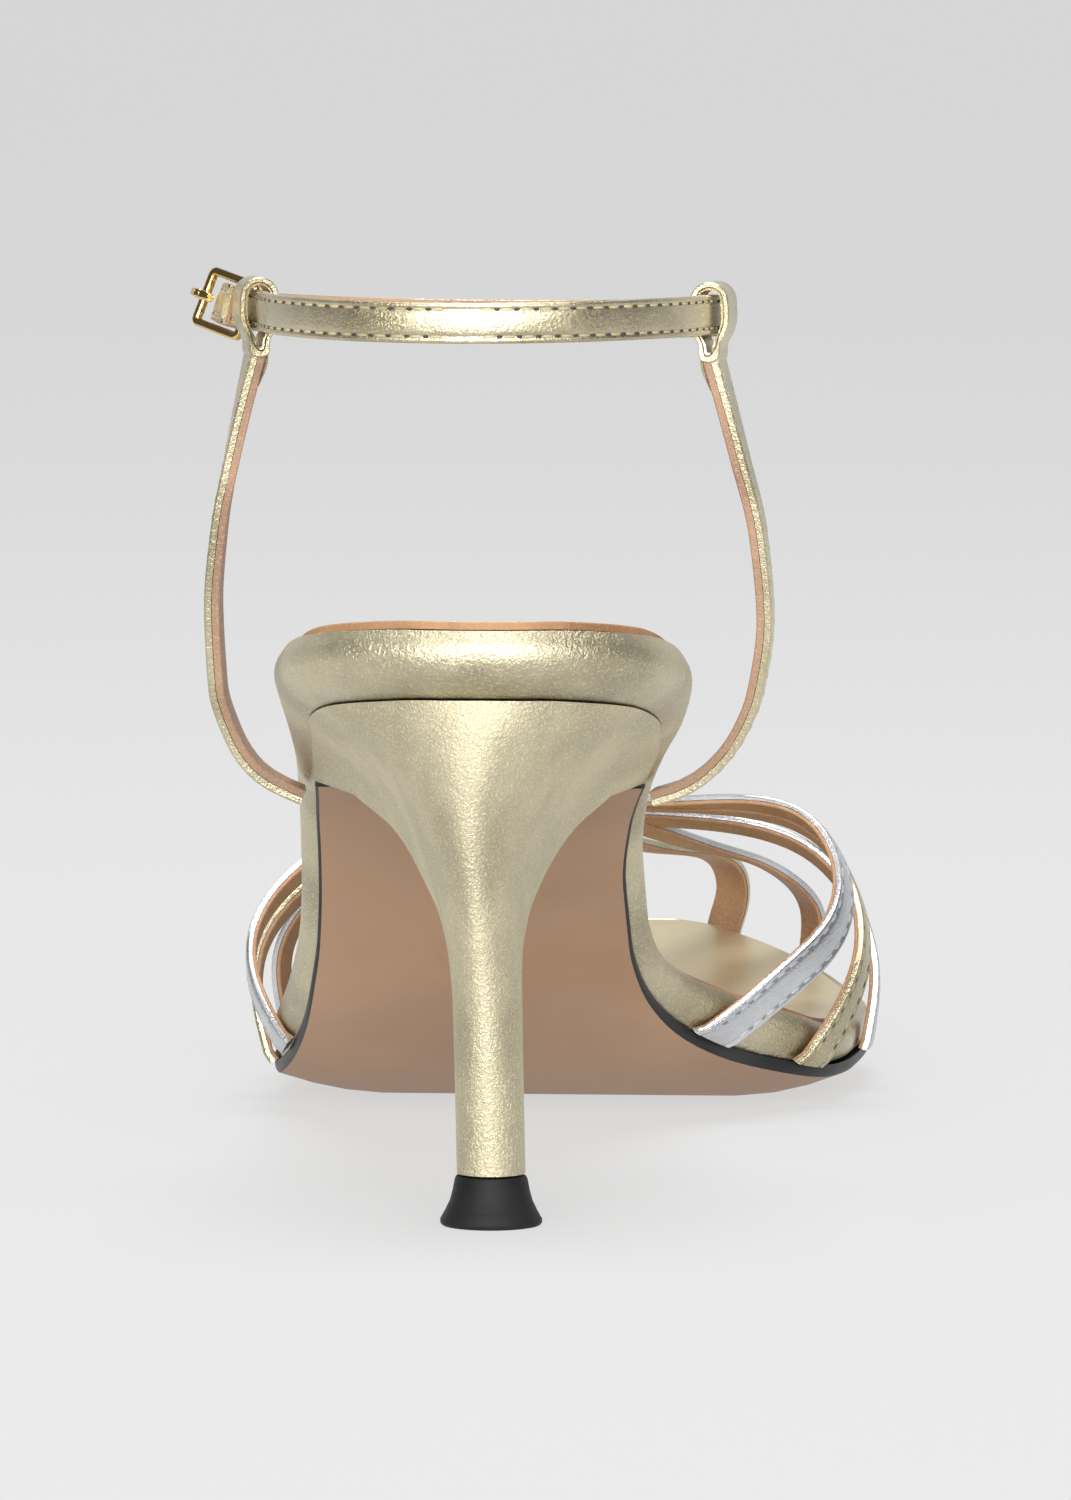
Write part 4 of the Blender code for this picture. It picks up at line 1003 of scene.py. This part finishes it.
def makeBuckle():
    share = shareAt(buckle["place"], True)
    stack = ankle["freeTop"] * ankle["thickness"]
    up, out = bandUp(share)
    point, tangent = bandPoint(share)[:2]
    centre = point + out * stack / 2
    turn = math.radians(buckle["turn"])
    along = tangent * math.cos(turn) + out * math.sin(turn)
    across = out * math.cos(turn) - tangent * math.sin(turn)
    bar, corner = buckle["bar"], buckle["corner"]
    halfUp = ankle["strapWidth"] / 2 + buckle["room"] + bar / 2
    halfLong = buckle["length"] / 2 - bar / 2
    barShape = (
        (1, -0.55), (1, 0.55), (0.8, 0.85), (0.5, 1), (-0.5, 1), (-0.8, 0.85),
        (-1, 0.55), (-1, -0.55), (-0.8, -0.85), (-0.5, -1), (0.5, -1), (0.8, -0.85),
    )
    rings = []
    for turnAt, (signUp, signAlong) in enumerate(((1, 1), (1, -1), (-1, -1), (-1, 1))):
        for part in np.linspace(0, 1, 6):
            angle = math.radians(90 * (turnAt + part))
            away = along * math.cos(angle) + up * math.sin(angle)
            middle = centre + up * signUp * (halfUp - corner) + along * signAlong * (halfLong - corner)
            rings.append([middle + away * (corner + bar / 2 * x) + across * bar / 2 * y for x, y in barShape])
    bm = bmesh.new()
    loft(bm, rings, closed=True)
    addPiece("buckleFrame", bm, [looks["polishedGold"]], ["buckle_frame"], 50.0)
    prong = buckle["prong"]
    lift = gap + prong / 2
    start = centre + out * (stack / 2 + lift) - tangent * buckle["prongStart"] * buckle["length"]
    reach = buckle["length"] / 2 - bar
    end = centre + along * (reach + 0.7 * bar) + across * (bar / 2 + 1.5 * lift)
    half = up * prong / 2
    depth = up.cross(end - start).normalized() * prong / 2
    # Place along the post and its size there: a thin groove goes around its middle, and its tip is slimmer.
    postRows = (
        (0.0, 0.70), (0.03, 0.80), (0.30, 0.95), (0.48, 0.98), (0.50, 0.82), (0.53, 0.98), (0.8, 0.85),
        (0.97, 0.70), (1.0, 0.55),
    )
    corners = ((-1, -0.7), (-0.7, -1), (0.7, -1), (1, -0.7), (1, 0.7), (0.7, 1), (-0.7, 1), (-1, 0.7))
    rings = []
    for part, size in postRows:
        spot = start.lerp(end, part)
        rings.append([spot + half * size * i + depth * size * j for i, j in corners])
    bm = bmesh.new()
    loft(bm, rings)
    addPiece("bucklePost", bm, [looks["polishedGold"]], ["buckle_prong"], 50.0)


makeBuckle()
print("buckle made")


paper = {"near": -2.5, "bend": 2.6, "radius": 1.2, "height": 4.5, "width": 8.0, "glow": 0.60}


def makeFloor():
    # A pale floor that bends up into a backdrop far behind.
    bm = bmesh.new()
    bend, radius = paper["bend"], paper["radius"]
    profile = [(paper["near"], 0.0), (bend, 0.0)]
    for turn in np.linspace(0.1, math.pi / 2, 16):
        profile.append((bend + radius * math.sin(turn), radius - radius * math.cos(turn)))
    profile.append((bend + radius, paper["height"]))
    line = [bm.verts.new((-paper["width"] / 2, y, z)) for y, z in profile]
    lineEdges = [bm.edges.new(pair) for pair in zip(line, line[1:])]
    made = bmesh.ops.extrude_edge_only(bm, edges=lineEdges)
    fresh = [item for item in made["geom"] if isinstance(item, bmesh.types.BMVert)]
    bmesh.ops.translate(bm, verts=fresh, vec=(paper["width"], 0, 0))
    mesh = bpy.data.meshes.new("floor")
    bm.to_mesh(mesh)
    bm.free()
    mesh.shade_smooth()
    floor = bpy.data.objects.new("floor", mesh)
    bpy.context.scene.collection.objects.link(floor)
    material, tree, shader = newMaterial("floorPaper")
    spot = addNode(tree, "ShaderNodeTexCoord").outputs["Object"]
    noise = addNode(tree, "ShaderNodeTexNoise", {"Vector": spot, "Scale": 3.0, "Detail": 2.0})
    tone = mix(tree, noise.outputs[0], (0.10, 0.10, 0.101), (0.11, 0.11, 0.111))
    tree.links.new(tone, shader.inputs["Base Color"])
    shader.inputs["Roughness"].default_value = 0.9
    shader.inputs["Emission Color"].default_value = (1.0, 1.0, 1.0, 1.0)
    shader.inputs["Emission Strength"].default_value = paper["glow"]
    mesh.materials.append(material)


makeFloor()

world = bpy.data.worlds.new("studio")
bpy.context.scene.world = world
world.use_nodes = True
world.node_tree.nodes["Background"].inputs[0].default_value = (0.95, 0.97, 1.0, 1.0)
world.node_tree.nodes["Background"].inputs[1].default_value = 0.11


def addLamp(name, place, target, size, power):
    lamp = bpy.data.lights.new(name, "AREA")
    lamp.shape = "RECTANGLE"
    lamp.size, lamp.size_y = size
    lamp.energy = power
    obj = bpy.data.objects.new(name, lamp)
    obj.location = place
    obj.rotation_euler = (Vector(target) - Vector(place)).to_track_quat("-Z", "Y").to_euler()
    bpy.context.scene.collection.objects.link(obj)


addLamp("frontSoftbox", (0.1, -2.5, 0.9), (0.0, 0.1, 0.05), (3.0, 1.5), 136.0)
addLamp("leftSoftbox", (-1.4, -0.9, 1.2), (0.0, 0.1, 0.06), (0.5, 0.8), 4.0)
addLamp("rightSoftbox", (1.4, -0.9, 1.1), (0.0, 0.1, 0.06), (0.4, 0.8), 4.0)
addLamp("topSoftbox", (0.0, 0.2, 1.5), (0.0, 0.1, 0.0), (0.9, 0.9), 19.0)
addLamp("leftRim", (-1.3, 0.9, 0.6), (0.0, 0.1, 0.05), (0.3, 0.9), 1.0)
addLamp("rightRim", (1.3, 0.9, 0.6), (0.0, 0.1, 0.05), (0.3, 0.9), 1.0)

# The camera stands behind the heel. Right and down are the tangents of its small turns from straight ahead.
view = {
    "place": (0.0942, -1.1963, 0.156), "lens": 325.0, "yaw": 4.5, "right": 28.5 / 6240, "down": 502.0 / 6240,
}
camera = bpy.data.cameras.new("camera")
camera.sensor_width = 36.0
camera.sensor_fit = "HORIZONTAL"
camera.lens = view["lens"]
eye = bpy.data.objects.new("camera", camera)
yaw = math.radians(view["yaw"])
ahead = Vector((-math.sin(yaw), math.cos(yaw), 0.0))
right = Vector((math.cos(yaw), math.sin(yaw), 0.0))
eye.location = view["place"]
aim = ahead + right * view["right"] - Vector((0, 0, 1)) * view["down"]
eye.rotation_euler = aim.to_track_quat("-Z", "Y").to_euler()
bpy.context.scene.collection.objects.link(eye)
bpy.context.scene.camera = eye
bpy.context.scene.view_settings.view_transform = "Standard"
